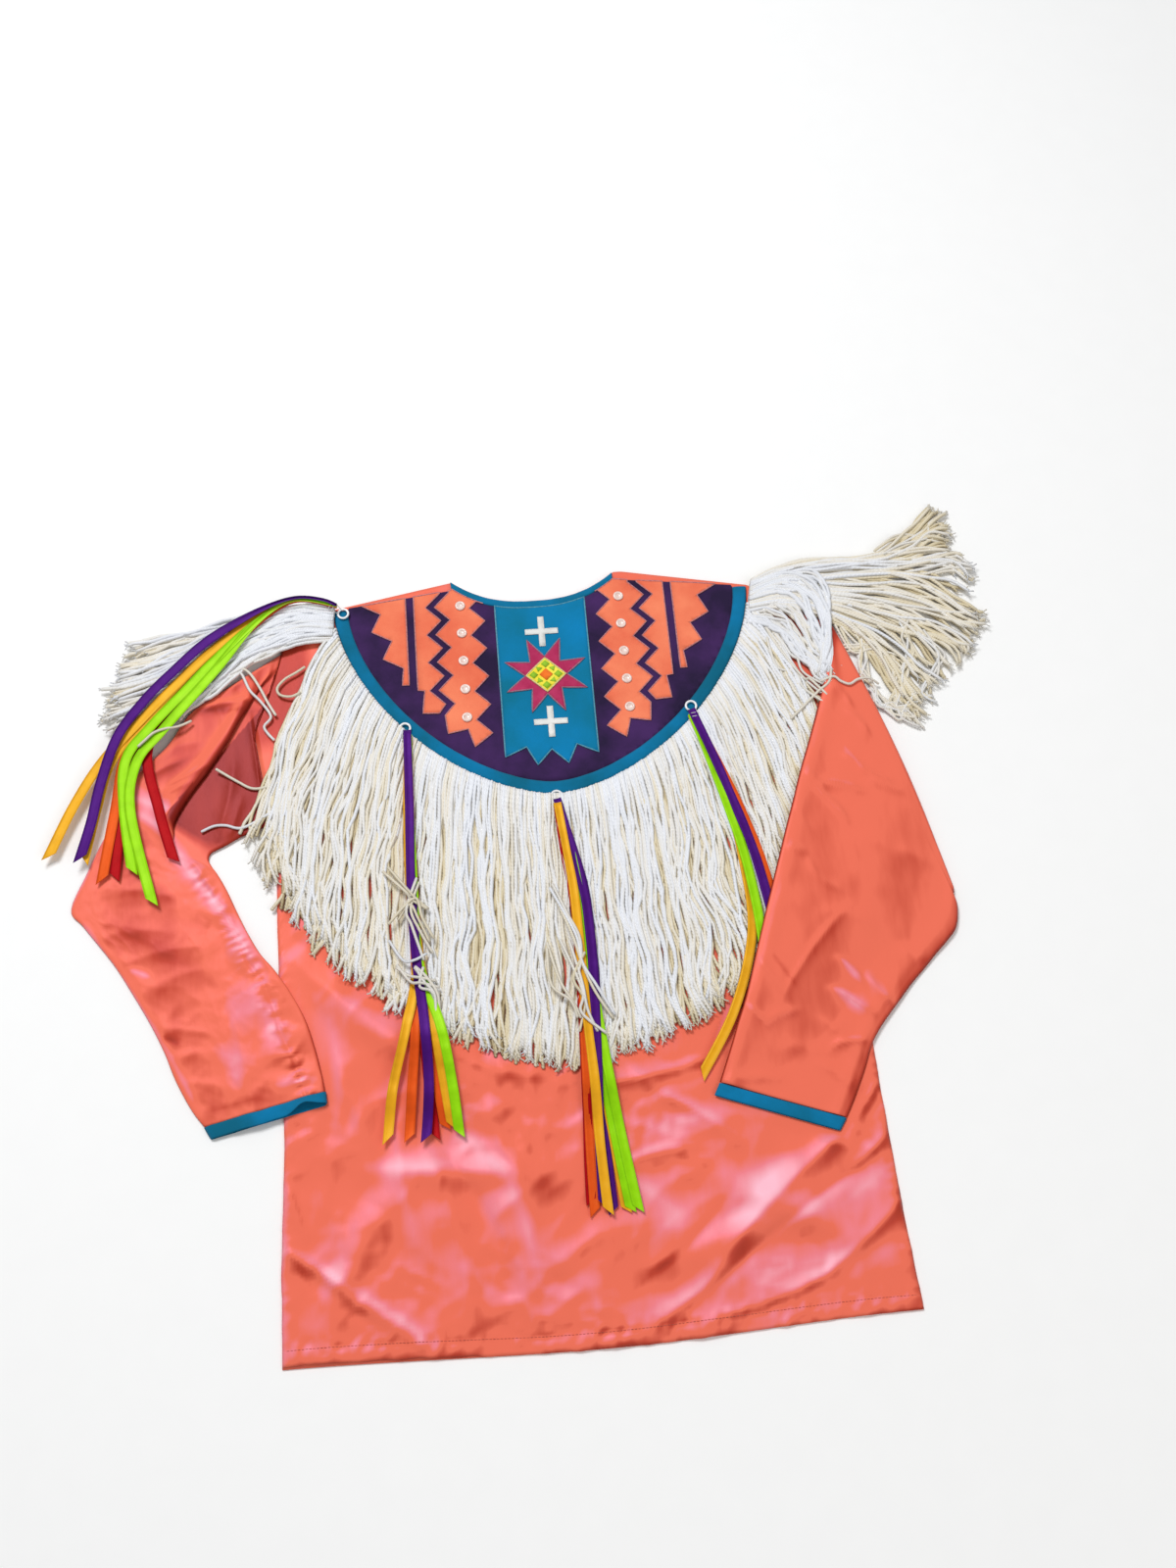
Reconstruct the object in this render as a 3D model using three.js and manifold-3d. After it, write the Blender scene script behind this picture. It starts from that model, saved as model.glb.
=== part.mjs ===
// Grass dance shirt laid flat, front up: satin body and sleeves, a round appliqued yoke edged with
// yarn fringe, and bundles of narrow ribbons hung from small rings. Millimetres, +Z up.
// X is zero on the centre line, +X is the wearer's left, +Y runs from hem to neck, and the floor is Z = 0.
import * as THREE from 'three';
import Module from 'manifold-3d';
import { mergeVertices } from 'three/addons/utils/BufferGeometryUtils.js';

const { MathUtils: M } = THREE;
const wasm = await Module();
wasm.setup();

// ---------------------------------------------------------------- driving sizes

const WALL = 1.2; // one layer of cloth
const GAP = 0.4; // between pieces that touch
const LAYERS = 2 * WALL + GAP; // two layers of a flat sleeve
const PANEL_BASE = WALL + GAP; // underside of the front panel
const PANEL_TOP = 3; // top of the front panel where it has no fold

const HEM_Y = -400;
const FOLD = { freeX: 262, fade: 30, taper: 0.08 }; // flat beyond freeX, each crest tapered at its ends
const REST_SPAN = 20; // stiff length of what lies on the folds
const UNDERARM_Y = 122;
const RIGHT_SIDE = 288; // half widths of the body at the underarm
const LEFT_SIDE = 288;
const ARMHOLE_TOP_Y = 312;
const ARMHOLE_STEPS = 8;
const BODY_STEPS = 15; // rows between hem and underarm
const BODY_HEIGHT = ARMHOLE_TOP_Y - HEM_Y;

const NECK = { x: -9, halfWidth: 89, low: 356, dip: 30, power: 2.5 };
const SHOULDER = { x: 224, y: 360, turnX: 262, turnY: 343 };

const YOKE = { x: 0, y: 357, halfWidth: 223, depth: 228, power: 1.68 };
const ARC_BAND = 14; // binding on the yoke's round edge
const NECK_BAND = 8.5;
const YOKE_LAYER = { base: PANEL_TOP + 0.3, top: PANEL_TOP + 1.5 };
const BAND_TOP = PANEL_TOP + 3;
const PATCH = { gap: 0.3, thickness: 1 }; // applique cloth with its satin stitch
const MOTIF_X = -2.5; // centre line of the applique

const FRINGE_REACH = { x: 410, y: 511 }; // half axes of the curve that the fringe's ends follow
const FRINGE_LENGTH = 270;
const FRINGE_PILE = 4.6; // height of the yarn above the cloth
const SETTLE = { beyond: 10, run: 44 }; // how a ribbon comes down past the fringe's ends
const CLIMB = { beyond: 22, run: 34 }; // how a sleeve comes down past an edge that it lies on
const STRIP = { width: 5, height: 3 };

const RIBBON = { width: 9.5, thickness: 0.9, step: 1.3 };
const HANGER = { radius: 5.4, tube: 1.2 };

const COLOR = {
  satin: '#e8654f',
  navy: '#37215a',
  teal: '#0080a0',
  coral: '#ff8560',
  white: '#eceae4',
  berry: '#b02a5a',
  yellow: '#f5e83a',
  orange: '#f4701f',
  gold: '#f2c14e',
  red: '#c4161c',
  purple: '#5b2a86',
  lime: '#a6f000',
  yarn: '#e9e2d0',
};

const FINISH = {
  satin: { roughness: 0.35, metalness: 0 },
  cotton: { roughness: 0.8, metalness: 0 },
  yarn: { roughness: 0.95, metalness: 0 },
  plastic: { roughness: 0.3, metalness: 0 },
};

// Side edges of the body, from hem to the top of the armhole.
const BODY_EDGE = [
  { y: -400, left: -289, right: 293 },
  { y: -300, left: -288, right: 288 },
  { y: -200, left: -284, right: 285 },
  { y: 0, left: -288, right: 284 },
  { y: 122, left: -288, right: 288 },
  { y: 170, left: -301, right: 300 },
  { y: 220, left: -309, right: 308 },
  { y: 265, left: -292, right: 304 },
  { y: 312, left: -279, right: 298 },
];

// Largest folds of the front panel: a soft ridge from one end to the other.
const PANEL_FOLDS = [
  { fromX: -232, fromY: -72, toX: -88, toY: -188, width: 14, height: 5 },
  { fromX: -205, fromY: -236, toX: -50, toY: -250, width: 13, height: 3.5 },
  { fromX: -92, fromY: -250, toX: -58, toY: -380, width: 15, height: 4 },
  { fromX: -262, fromY: -372, toX: -190, toY: -262, width: 16, height: 4.5 },
  { fromX: 60, fromY: -345, toX: 232, toY: -290, width: 16, height: 4.5 },
  { fromX: 95, fromY: -255, toX: 265, toY: -345, width: 14, height: 4 },
];

// Wearer's right sleeve: outer edge a, underarm edge b. The crease runs at a fraction of the way
// from a to b, the cloth on its a side lies folded over by step, and spread is half its run.
const RIGHT_SLEEVE = [
  { ax: -318, ay: 287, bx: -305, by: 113, crease: 0.18, spread: 0.03, step: 2.4 },
  { ax: -345, ay: 269, bx: -322, by: 107, crease: 0.32, spread: 0.02, step: 3 },
  { ax: -374, ay: 249, bx: -337, by: 99, crease: 0.42, spread: 0.02, step: 3 },
  { ax: -398, ay: 213, bx: -348, by: 94, crease: 0.43, spread: 0.02, step: 3 },
  { ax: -430, ay: 180, bx: -353, by: 91, crease: 0.49, spread: 0.03, step: 3 },
  { ax: -436, ay: 158, bx: -355, by: 85, crease: 0.5, spread: 0.04, step: 2.6 },
  { ax: -446, ay: 136, bx: -352, by: 78, crease: 0.56, spread: 0.05, step: 1.6 },
  { ax: -460, ay: 116, bx: -346, by: 69, crease: 0.66, spread: 0.05, step: 0.8 },
  { ax: -476, ay: 80, bx: -337, by: 52, crease: 0.78, spread: 0.05, step: 0.6 },
  { ax: -490, ay: 43, bx: -327, by: 29, crease: 0.86, spread: 0.05, step: 0.6 },
  { ax: -477, ay: 24, bx: -316, by: 5, crease: 0.86, spread: 0.05, step: 0.6 },
  { ax: -448, ay: -15, bx: -304, by: -17, crease: 0.84, spread: 0.05, step: 0.6 },
  { ax: -429, ay: -46, bx: -290, by: -35, crease: 0.82, spread: 0.05, step: 0.6 },
  { ax: -411, ay: -78, bx: -276, by: -57, crease: 0.82, spread: 0.05, step: 0.6 },
  { ax: -397, ay: -107, bx: -262, by: -85, crease: 0.82, spread: 0.05, step: 0.6 },
  { ax: -386, ay: -135, bx: -253, by: -114, crease: 0.8, spread: 0.05, step: 0.5 },
  { ax: -371, ay: -164, bx: -247, by: -141, crease: 0.8, spread: 0.05, step: 0.4 },
  { ax: -359, ay: -181, bx: -244.5, by: -157.5, crease: 0.8, spread: 0.05, step: 0.3 },
];
const RIGHT_CUFF = [
  { ax: -358.5, ay: -181.6, bx: -244.3, by: -158.1 },
  { ax: -352, ay: -193, bx: -243, by: -170 },
];

// Wearer's left sleeve after it folds back over the body: overarm edge a, underarm edge b.
const LEFT_SLEEVE = [
  { ax: 297, ay: 260, bx: 391, by: -22 },
  { ax: 284, ay: 217, bx: 386, by: -43 },
  { ax: 268, ay: 175, bx: 374, by: -57 },
  { ax: 251, ay: 134, bx: 361, by: -69 },
  { ax: 239, ay: 102, bx: 347, by: -83 },
  { ax: 227, ay: 71, bx: 332, by: -97 },
  { ax: 211, ay: 28, bx: 317, by: -113 },
  { ax: 195, ay: -15, bx: 302, by: -129 },
  { ax: 180, ay: -57, bx: 291, by: -142 },
  { ax: 165, ay: -99, bx: 282, by: -156 },
  { ax: 155, ay: -122, bx: 272, by: -178 },
  { ax: 145, ay: -146, bx: 259, by: -203 },
  { ax: 130.5, ay: -179, bx: 248, by: -222 },
];
const LEFT_CUFF = [
  { ax: 130.2, ay: -179.7, bx: 247.7, by: -222.7 },
  { ax: 124, ay: -191, bx: 240, by: -234 },
];
const LEFT_FOLD = { ax: 310, ay: 304, bx: 392, by: -6, bow: 7 };
const LEFT_LOWER = { ax: 304, ay: 306, bx: 341, by: 57 }; // halfway from the armhole to the fold, below
const COVERED_RIBBONS = { x: 186, halfWidth: 32, endY: -75, height: 5.8 };

// ---------------------------------------------------------------- small helpers

const lerpRow = (rows, key, at, column) => {
  const last = rows.length - 1;
  const next = rows.findIndex((row, i) => i === last || row[key] >= at);
  const high = rows[Math.max(next, 1)];
  const low = rows[Math.max(next, 1) - 1];
  return M.mapLinear(M.clamp(at, low[key], high[key]), low[key], high[key], low[column], high[column]);
};

const steps = (count) => Array.from({ length: count + 1 }, (unused, i) => i / count);

// One on the near side of zero, falling smoothly to zero over a run.
const fall = (distance, run) => 1 - M.smoothstep(distance, 0, run);

// Indexed geometry from vertices and quads, each quad split in two.
function quadGeometry(vertices, quads) {
  const geometry = new THREE.BufferGeometry();
  const flat = vertices.flatMap((vertex) => [vertex.x, vertex.y, vertex.z]);
  geometry.setAttribute('position', new THREE.Float32BufferAttribute(flat, 3));
  geometry.setIndex(quads.flatMap(([a, b, c, d]) => (d === undefined ? [a, b, c] : [a, b, c, a, c, d])));
  geometry.computeVertexNormals();
  return geometry;
}

// Closed wall over a grid of places: underside and top are heights at each place.
function wallGeometry(grid, underside, top) {
  const rows = grid.length;
  const columns = grid[0].length;
  const count = rows * columns;
  const lift = (height) => grid.flat().map((p) => new THREE.Vector3(p.x, p.y, height(p.x, p.y)));
  const at = (row, column) => row * columns + column;
  const quads = [];
  for (let row = 0; row < rows - 1; row += 1) {
    for (let column = 0; column < columns - 1; column += 1) {
      const corners = [at(row, column), at(row, column + 1), at(row + 1, column + 1), at(row + 1, column)];
      quads.push(corners.map((corner) => corner + count));
      quads.push([...corners].reverse());
    }
  }
  const rim = [
    ...steps(columns - 1).map((t) => at(0, Math.round(t * (columns - 1)))),
    ...steps(rows - 1).slice(1).map((t) => at(Math.round(t * (rows - 1)), columns - 1)),
    ...steps(columns - 1).slice(1).map((t) => at(rows - 1, Math.round((1 - t) * (columns - 1)))),
    ...steps(rows - 1).slice(1, -1).map((t) => at(Math.round((1 - t) * (rows - 1)), 0)),
  ];
  rim.forEach((from, i) => {
    const to = rim[(i + 1) % rim.length];
    quads.push([from, to, to + count, from + count]);
  });
  return quadGeometry([...lift(underside), ...lift(top)], quads);
}

// Solid through closed rings with equal numbers of points, each turning left as seen from its start.
function loftGeometry(rings) {
  const size = rings[0].length;
  const quads = [];
  for (let i = 0; i < rings.length - 1; i += 1) {
    for (let k = 0; k < size; k += 1) {
      const next = (k + 1) % size;
      quads.push([(i + 1) * size + k, (i + 1) * size + next, i * size + next, i * size + k]);
    }
  }
  const end = (rings.length - 1) * size;
  for (let k = 1; k < size - 1; k += 1) {
    quads.push([0, k, k + 1]);
    quads.push([end, end + k + 1, end + k]);
  }
  return quadGeometry(rings.flat(), quads);
}

// Open tube of cloth from outer and inner rings, joined at both mouths.
function sleeveGeometry(rings) {
  const size = rings[0].outer.length;
  const inside = rings.length * size;
  const quads = [];
  const band = (a, b, c, d, flip) => quads.push(flip ? [d, c, b, a] : [a, b, c, d]);
  for (let i = 0; i < rings.length - 1; i += 1) {
    for (let k = 0; k < size; k += 1) {
      const next = (k + 1) % size;
      const corners = [i * size + k, i * size + next, (i + 1) * size + next, (i + 1) * size + k];
      band(...corners, false);
      band(...corners.map((corner) => corner + inside), true);
    }
  }
  const end = (rings.length - 1) * size;
  for (let k = 0; k < size; k += 1) {
    const next = (k + 1) % size;
    quads.push([k + inside, next + inside, next, k]);
    quads.push([end + k, end + next, end + next + inside, end + k + inside]);
  }
  const vertices = ['outer', 'inner'].flatMap((face) => rings.flatMap((ring) => ring[face]));
  return quadGeometry(vertices, quads);
}

function toManifold(geometry) {
  const bare = geometry.clone();
  bare.deleteAttribute('normal');
  bare.deleteAttribute('uv');
  const merged = mergeVertices(bare, 1e-4);
  return new wasm.Manifold(new wasm.Mesh({
    numProp: 3,
    vertProperties: new Float32Array(merged.attributes.position.array),
    triVerts: new Uint32Array(merged.index.array),
  }));
}

function fromManifold(solid) {
  const mesh = solid.getMesh();
  const geometry = new THREE.BufferGeometry();
  geometry.setAttribute('position', new THREE.BufferAttribute(mesh.vertProperties, 3));
  geometry.setIndex(new THREE.BufferAttribute(mesh.triVerts, 1));
  geometry.computeVertexNormals();
  return geometry;
}

const fuse = (geometries) => fromManifold(wasm.Manifold.union(geometries.map(toManifold)));

// Flat plate of an outline between two heights.
function plate(points, base, top) {
  const shape = new THREE.Shape(points.map((p) => new THREE.Vector2(p.x, p.y)));
  const geometry = new THREE.ExtrudeGeometry(shape, { depth: top - base, bevelEnabled: false });
  return geometry.translate(0, 0, base);
}

const mirror = (points) => points.map((p) => ({ x: 2 * MOTIF_X - p.x, y: p.y }));

const shirt = new THREE.Group();

function add(name, geometry, color, finish) {
  const mesh = new THREE.Mesh(geometry, new THREE.MeshStandardMaterial({ color, ...finish }));
  mesh.name = name;
  shirt.add(mesh);
}

// ---------------------------------------------------------------- heights of the cloth

const neckline = (x) => NECK.low + NECK.dip * Math.abs((x - NECK.x) / NECK.halfWidth) ** NECK.power;

function shoulderLine(x) {
  const side = Math.abs(x);
  const corner = NECK.low + NECK.dip;
  if (side > SHOULDER.turnX) {
    return M.mapLinear(side, SHOULDER.turnX, 290, SHOULDER.turnY, ARMHOLE_TOP_Y);
  }
  if (side > SHOULDER.x) {
    return M.mapLinear(side, SHOULDER.x, SHOULDER.turnX, SHOULDER.y, SHOULDER.turnY);
  }
  return M.mapLinear(side, NECK.halfWidth, SHOULDER.x, corner, SHOULDER.y);
}

const topLine = (x) => (Math.abs(x - NECK.x) < NECK.halfWidth ? neckline(x) : shoulderLine(x));

function foldHeight(fold, x, y) {
  const from = new THREE.Vector3(fold.fromX, fold.fromY, 0);
  const crest = new THREE.Line3(from, new THREE.Vector3(fold.toX, fold.toY, 0));
  const place = new THREE.Vector3(x, y, 0);
  const t = crest.closestPointToPointParameter(place, true);
  const away = crest.at(t, new THREE.Vector3()).distanceTo(place) / fold.width;
  const along = M.clamp(t, FOLD.taper, 1 - FOLD.taper);
  return fold.height * Math.exp(-away * away) * Math.sin(Math.PI * along) ** 0.5;
}

// Folds die out towards the side seams and the hem, where the cloth is pressed flat.
function panelFold(x, y) {
  const height = PANEL_FOLDS.reduce((sum, fold) => sum + foldHeight(fold, x, y), 0);
  const edge = Math.min(FOLD.freeX - Math.abs(x), y - HEM_Y);
  return height * M.smoothstep(edge, 0, FOLD.fade);
}

const panelTop = (x, y) => PANEL_TOP + panelFold(x, y);

// Height of the crests around a place, which is what yarn and ribbon lie on.
function crestTop(x, y) {
  const around = [0, 60, 120, 180, 240, 300].map(M.degToRad);
  const heights = around.map((a) => panelTop(x + REST_SPAN * Math.cos(a), y + REST_SPAN * Math.sin(a)));
  return Math.max(panelTop(x, y), ...heights);
}

// Signed distance-like measure to the curve that the fringe ends on, less than zero inside.
function beyondFringe(x, y) {
  const across = Math.abs(x / FRINGE_REACH.x) ** YOKE.power;
  const down = Math.abs(Math.min(0, y - YOKE.y) / FRINGE_REACH.y) ** YOKE.power;
  return ((across + down) ** (1 / YOKE.power) - 1) * FRINGE_REACH.y;
}

const fringeTop = (x, y) => {
  const pile = fall(beyondFringe(x, y) - SETTLE.beyond, SETTLE.run);
  return crestTop(x, y) + FRINGE_PILE * pile;
};

// ---------------------------------------------------------------- front and back panels

function bodyGrid(columns) {
  const low = steps(BODY_STEPS).map((t) => M.lerp(HEM_Y, UNDERARM_Y, t));
  const high = steps(ARMHOLE_STEPS).slice(1).map((t) => M.lerp(UNDERARM_Y, ARMHOLE_TOP_Y, t));
  return [...low, ...high].map((edgeY) => {
    const left = lerpRow(BODY_EDGE, 'y', edgeY, 'left');
    const right = lerpRow(BODY_EDGE, 'y', edgeY, 'right');
    return columns.map((u) => {
      const x = M.lerp(left, right, u);
      const crown = M.lerp(BODY_EDGE.at(-1).left, BODY_EDGE.at(-1).right, u);
      const top = u === 0 || u === 1 ? ARMHOLE_TOP_Y : topLine(crown);
      const hem = HEM_Y - 9 * Math.sin(Math.PI * u) ** 2;
      const v = (edgeY - HEM_Y) / BODY_HEIGHT;
      return { x, y: M.lerp(hem, top, v) };
    });
  });
}

const FRONT_COLUMNS = [
  0, 0.04, 0.095, 0.15, 0.2, 0.25, 0.292, 0.315, 0.35, 0.4, 0.45, 0.5,
  0.54, 0.58, 0.616, 0.64, 0.68, 0.73, 0.78, 0.83, 0.872, 0.93, 0.97, 1,
];
const BACK_COLUMNS = [0, 0.095, 0.292, 0.315, 0.36, 0.46, 0.56, 0.616, 0.64, 0.872, 1];

function addPanels() {
  const back = wallGeometry(bodyGrid(BACK_COLUMNS), () => 0, () => WALL);
  const front = wallGeometry(
    bodyGrid(FRONT_COLUMNS),
    (x, y) => PANEL_BASE + panelFold(x, y),
    panelTop,
  );
  add('back_panel', back, COLOR.satin, FINISH.satin);
  add('front_panel', front, COLOR.satin, FINISH.satin);
}

// ---------------------------------------------------------------- sleeves

// A flat tube's ring: base is one outer face, and towards points through the two layers.
function flatRing(base, towards, lift = () => 0) {
  const last = base.length - 1;
  const inset = base.map((point, k) => {
    if (k !== 0 && k !== last) {
      return point;
    }
    const neighbour = base[k === 0 ? 1 : last - 1];
    return point.clone().add(neighbour.clone().sub(point).setLength(WALL));
  });
  const raise = (points, depth, lifted) => points.map((point, k) => {
    const extra = lifted ? lift(k) : 0;
    return point.clone().addScaledVector(towards, depth + extra);
  });
  const loop = (points, low, high) => [...raise(points, low, false), ...raise(points, high, true).reverse()];
  return {
    outer: loop(base, 0, LAYERS),
    inner: loop(inset, WALL, WALL + GAP),
  };
}

const FOLDED_POINTS = 4; // of the nine across a sleeve, those on the folded side of its crease

// Fractions across a sleeve, with one on each side of its crease.
function acrossSleeve(crease, spread) {
  const near = steps(FOLDED_POINTS - 1).map((t) => (crease - spread) * t);
  const far = steps(FOLDED_POINTS).map((t) => M.lerp(crease + spread, 1, t));
  return [...near, ...far];
}

const UP = new THREE.Vector3(0, 0, 1);
const DOWN = new THREE.Vector3(0, 0, -1);
const EVEN = { crease: 0.4375, spread: 0.0625 };

const rowLine = (row, fractions, height) => fractions.map((t) => {
  const x = M.lerp(row.ax, row.bx, t);
  const y = M.lerp(row.ay, row.by, t);
  return new THREE.Vector3(x, y, height(x, y));
});

const armholeLine = (column, gap) => acrossSleeve(EVEN.crease, EVEN.spread).map((t) => {
  const y = M.lerp(ARMHOLE_TOP_Y, UNDERARM_Y, t);
  return new THREE.Vector3(lerpRow(BODY_EDGE, 'y', y, column) + gap, y, 0);
});

// The forearm rests on the floor and climbs onto the body's edge.
const forearmBase = (x, y) => {
  const onBody = fall(-x - RIGHT_SIDE - CLIMB.beyond, CLIMB.run) * fall(y, CLIMB.run);
  return (panelTop(x, y) + GAP) * onBody;
};

function rightSleeveRing(row) {
  const line = rowLine(row, acrossSleeve(row.crease ?? EVEN.crease, row.spread ?? EVEN.spread), forearmBase);
  return flatRing(line, UP, (k) => (k < FOLDED_POINTS ? row.step ?? 0 : 0));
}

// What lies under the folded-back left sleeve: floor, body side, its own lower half, fringe and ribbons.
function leftSupport(x, y) {
  const body = panelTop(x, y) * fall(x - LEFT_SIDE - CLIMB.beyond, CLIMB.run);
  const seam = new THREE.Vector2(LEFT_FOLD.bx - LEFT_SIDE, LEFT_FOLD.by - UNDERARM_Y).normalize();
  const pastSeam = seam.y * (x - LEFT_SIDE) - seam.x * (y - UNDERARM_Y);
  const lower = (LAYERS + GAP) * fall(pastSeam - CLIMB.beyond, CLIMB.run);
  const { x: ribbonX, halfWidth, endY, height } = COVERED_RIBBONS;
  const ribbons = height * fall(Math.abs(x - ribbonX) - halfWidth, CLIMB.run) * fall(endY - y, 45);
  const pile = fall(beyondFringe(x, y) - CLIMB.beyond, SETTLE.run);
  return Math.max(body, lower, (PANEL_TOP + FRINGE_PILE + ribbons) * pile);
}

const leftSleeveTop = (x, y) => leftSupport(x, y) + GAP + LAYERS;

function leftSleeveRings() {
  const fractions = acrossSleeve(EVEN.crease, EVEN.spread);
  const armhole = armholeLine('right', GAP);
  const lowMiddle = rowLine(LEFT_LOWER, fractions, () => 0);
  const along = new THREE.Vector3(LEFT_FOLD.bx - LEFT_FOLD.ax, LEFT_FOLD.by - LEFT_FOLD.ay, 0).normalize();
  const outward = new THREE.Vector3(-along.y, along.x, 0);
  const foldLine = rowLine(LEFT_FOLD, fractions, () => 0).map((point, k) => (
    point.addScaledVector(outward, LEFT_FOLD.bow * Math.sin(Math.PI * fractions[k]))
  ));
  const turn = (angle) => {
    const towards = outward.clone().multiplyScalar(-Math.cos(angle)).addScaledVector(UP, -Math.sin(angle));
    const base = foldLine.map((point) => {
      const radius = leftSleeveTop(point.x, point.y) / 2;
      const middle = point.clone().addScaledVector(outward, -radius).addScaledVector(UP, radius);
      return middle.addScaledVector(towards, -radius);
    });
    return flatRing(base, towards);
  };
  const lower = [armhole, lowMiddle].map((line) => flatRing(line, UP));
  const fold = [-90, -40, 0, 40, 90].map((degrees) => turn(M.degToRad(degrees)));
  const upper = LEFT_SLEEVE.map((row) => flatRing(rowLine(row, fractions, leftSleeveTop), DOWN));
  return [...lower, ...fold, ...upper];
}

function addSleeves() {
  const armhole = flatRing(armholeLine('left', -GAP), UP);
  const right = [armhole, ...RIGHT_SLEEVE.map(rightSleeveRing)];
  add('sleeve_right', sleeveGeometry(right), COLOR.satin, FINISH.satin);
  const rightCuff = sleeveGeometry(RIGHT_CUFF.map(rightSleeveRing));
  add('cuff_binding_right', rightCuff, COLOR.teal, FINISH.cotton);

  const fractions = acrossSleeve(EVEN.crease, EVEN.spread);
  const leftCuff = LEFT_CUFF.map((row) => flatRing(rowLine(row, fractions, leftSleeveTop), DOWN));
  add('sleeve_left', sleeveGeometry(leftSleeveRings().reverse()), COLOR.satin, FINISH.satin);
  add('cuff_binding_left', sleeveGeometry(leftCuff.reverse()), COLOR.teal, FINISH.cotton);
}

// ---------------------------------------------------------------- yoke

// Point of the yoke's round edge, moved out by grow: turn 0 is the wearer's left shoulder, 1 the right.
function arcPoint(turn, grow) {
  const angle = Math.PI * turn;
  const curve = (value) => Math.sign(value) * Math.abs(value) ** (2 / YOKE.power);
  return {
    x: YOKE.x + (YOKE.halfWidth + grow) * curve(Math.cos(angle)),
    y: YOKE.y - (YOKE.depth + grow) * curve(Math.sin(angle)),
  };
}

const arcRun = (grow, count, from = 0, to = 1) => (
  steps(count).map((t) => arcPoint(M.lerp(from, to, t), grow))
);

function arcBand(inner, outer, count, from, to) {
  return [...arcRun(outer, count, from, to), ...arcRun(inner, count, from, to).reverse()];
}

const neckRun = (drop, count) => steps(count).map((t) => {
  const x = NECK.x + NECK.halfWidth * (2 * t - 1) * 0.985;
  return { x, y: neckline(x) - drop };
});

const yokeField = () => [
  ...arcRun(-ARC_BAND - 0.3, 40),
  { x: -SHOULDER.x + ARC_BAND + 1, y: SHOULDER.y },
  ...neckRun(NECK_BAND + 0.3, 16),
  { x: SHOULDER.x - ARC_BAND - 1, y: SHOULDER.y },
];

// Corners of a sawtooth edge from top to bottom, alternating between root and tip.
function sawtooth({ root, tip, top, pitch, count }) {
  return Array.from({ length: count }, (unused, i) => ({
    x: MOTIF_X + (i % 2 === 0 ? root : tip),
    y: top - i * pitch / 2,
  }));
}

const TOOTH_PITCH = 33;
const ABOVE_NECK = 400; // patches are drawn past the neck and trimmed to the yoke

function innerColumn() {
  const teeth = sawtooth({ root: 76, tip: 60, top: 384, pitch: TOOTH_PITCH, count: 12 });
  const bolt = sawtooth({ root: 97, tip: 113, top: 371, pitch: TOOTH_PITCH, count: 9 });
  const fork = [
    { x: MOTIF_X + 79, y: 188 },
    { x: MOTIF_X + 85, y: 209 },
    { x: MOTIF_X + 106, y: 205 },
    { x: MOTIF_X + 108, y: 226 },
  ];
  const top = [{ x: MOTIF_X + 97, y: ABOVE_NECK }, { x: MOTIF_X + 76, y: ABOVE_NECK }];
  return [...teeth, ...fork, ...bolt.reverse(), ...top];
}

function middleColumn() {
  const bolt = sawtooth({ root: 107, tip: 123, top: 371, pitch: TOOTH_PITCH, count: 9 });
  const foot = [
    { x: MOTIF_X + 114, y: 229 },
    { x: MOTIF_X + 131, y: 230 },
    { x: MOTIF_X + 128, y: 256 },
    { x: MOTIF_X + 135, y: 257 },
  ];
  const top = [{ x: MOTIF_X + 135, y: ABOVE_NECK }, { x: MOTIF_X + 107, y: ABOVE_NECK }];
  return [...bolt, ...foot, ...top];
}

// The outer patch steps in along the round edge, one tooth at a time.
function outerColumn() {
  const teeth = [0, 1, 2].flatMap((i) => [
    { x: MOTIF_X + 192 - 11 * i, y: 362 - 33 * i },
    { x: MOTIF_X + 171 - 11 * i, y: 350 - 33 * i },
  ]);
  const foot = [{ x: MOTIF_X + 151, y: 264 }, { x: MOTIF_X + 144, y: 264 }];
  const top = [{ x: MOTIF_X + 144, y: ABOVE_NECK }, { x: MOTIF_X + 192, y: ABOVE_NECK }];
  return [...teeth, ...foot, ...top];
}

function centrePatch() {
  const half = 48.5;
  const edge = [-26, -15.5, 0, 16.5, 26.5];
  const drop = [184, 163, 180, 163, 184];
  return [
    { x: MOTIF_X - half, y: ABOVE_NECK },
    { x: MOTIF_X - half, y: 174 },
    ...edge.map((x, i) => ({ x: MOTIF_X + x, y: drop[i] })),
    { x: MOTIF_X + half, y: 173 },
    { x: MOTIF_X + half, y: ABOVE_NECK },
  ];
}

const STAR = { x: -2, y: 265, tip: 46, valley: 22, points: 8 };

const starOutline = () => steps(2 * STAR.points).slice(0, -1).map((t, i) => {
  const radius = i % 2 === 0 ? STAR.valley : STAR.tip;
  const angle = 2 * Math.PI * t;
  return { x: STAR.x + radius * Math.cos(angle), y: STAR.y + radius * Math.sin(angle) };
});

const diamond = (halfX, halfY) => [
  { x: STAR.x + halfX, y: STAR.y },
  { x: STAR.x, y: STAR.y + halfY },
  { x: STAR.x - halfX, y: STAR.y },
  { x: STAR.x, y: STAR.y - halfY },
];

const CROSS = { arm: 17.5, bar: 3.4 };

const crossOutline = (x, y) => {
  const { arm, bar } = CROSS;
  const corners = [[arm, bar], [bar, bar], [bar, arm], [-bar, arm], [-bar, bar], [-arm, bar]];
  const opposite = corners.map(([cx, cy]) => [-cx, -cy]);
  return [...corners, ...opposite].map(([cx, cy]) => ({ x: x + cx, y: y + cy }));
};

const BUTTON = { radius: 5.6, height: 2, x: 85.5, top: 354, pitch: 33, count: 5 };

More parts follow.
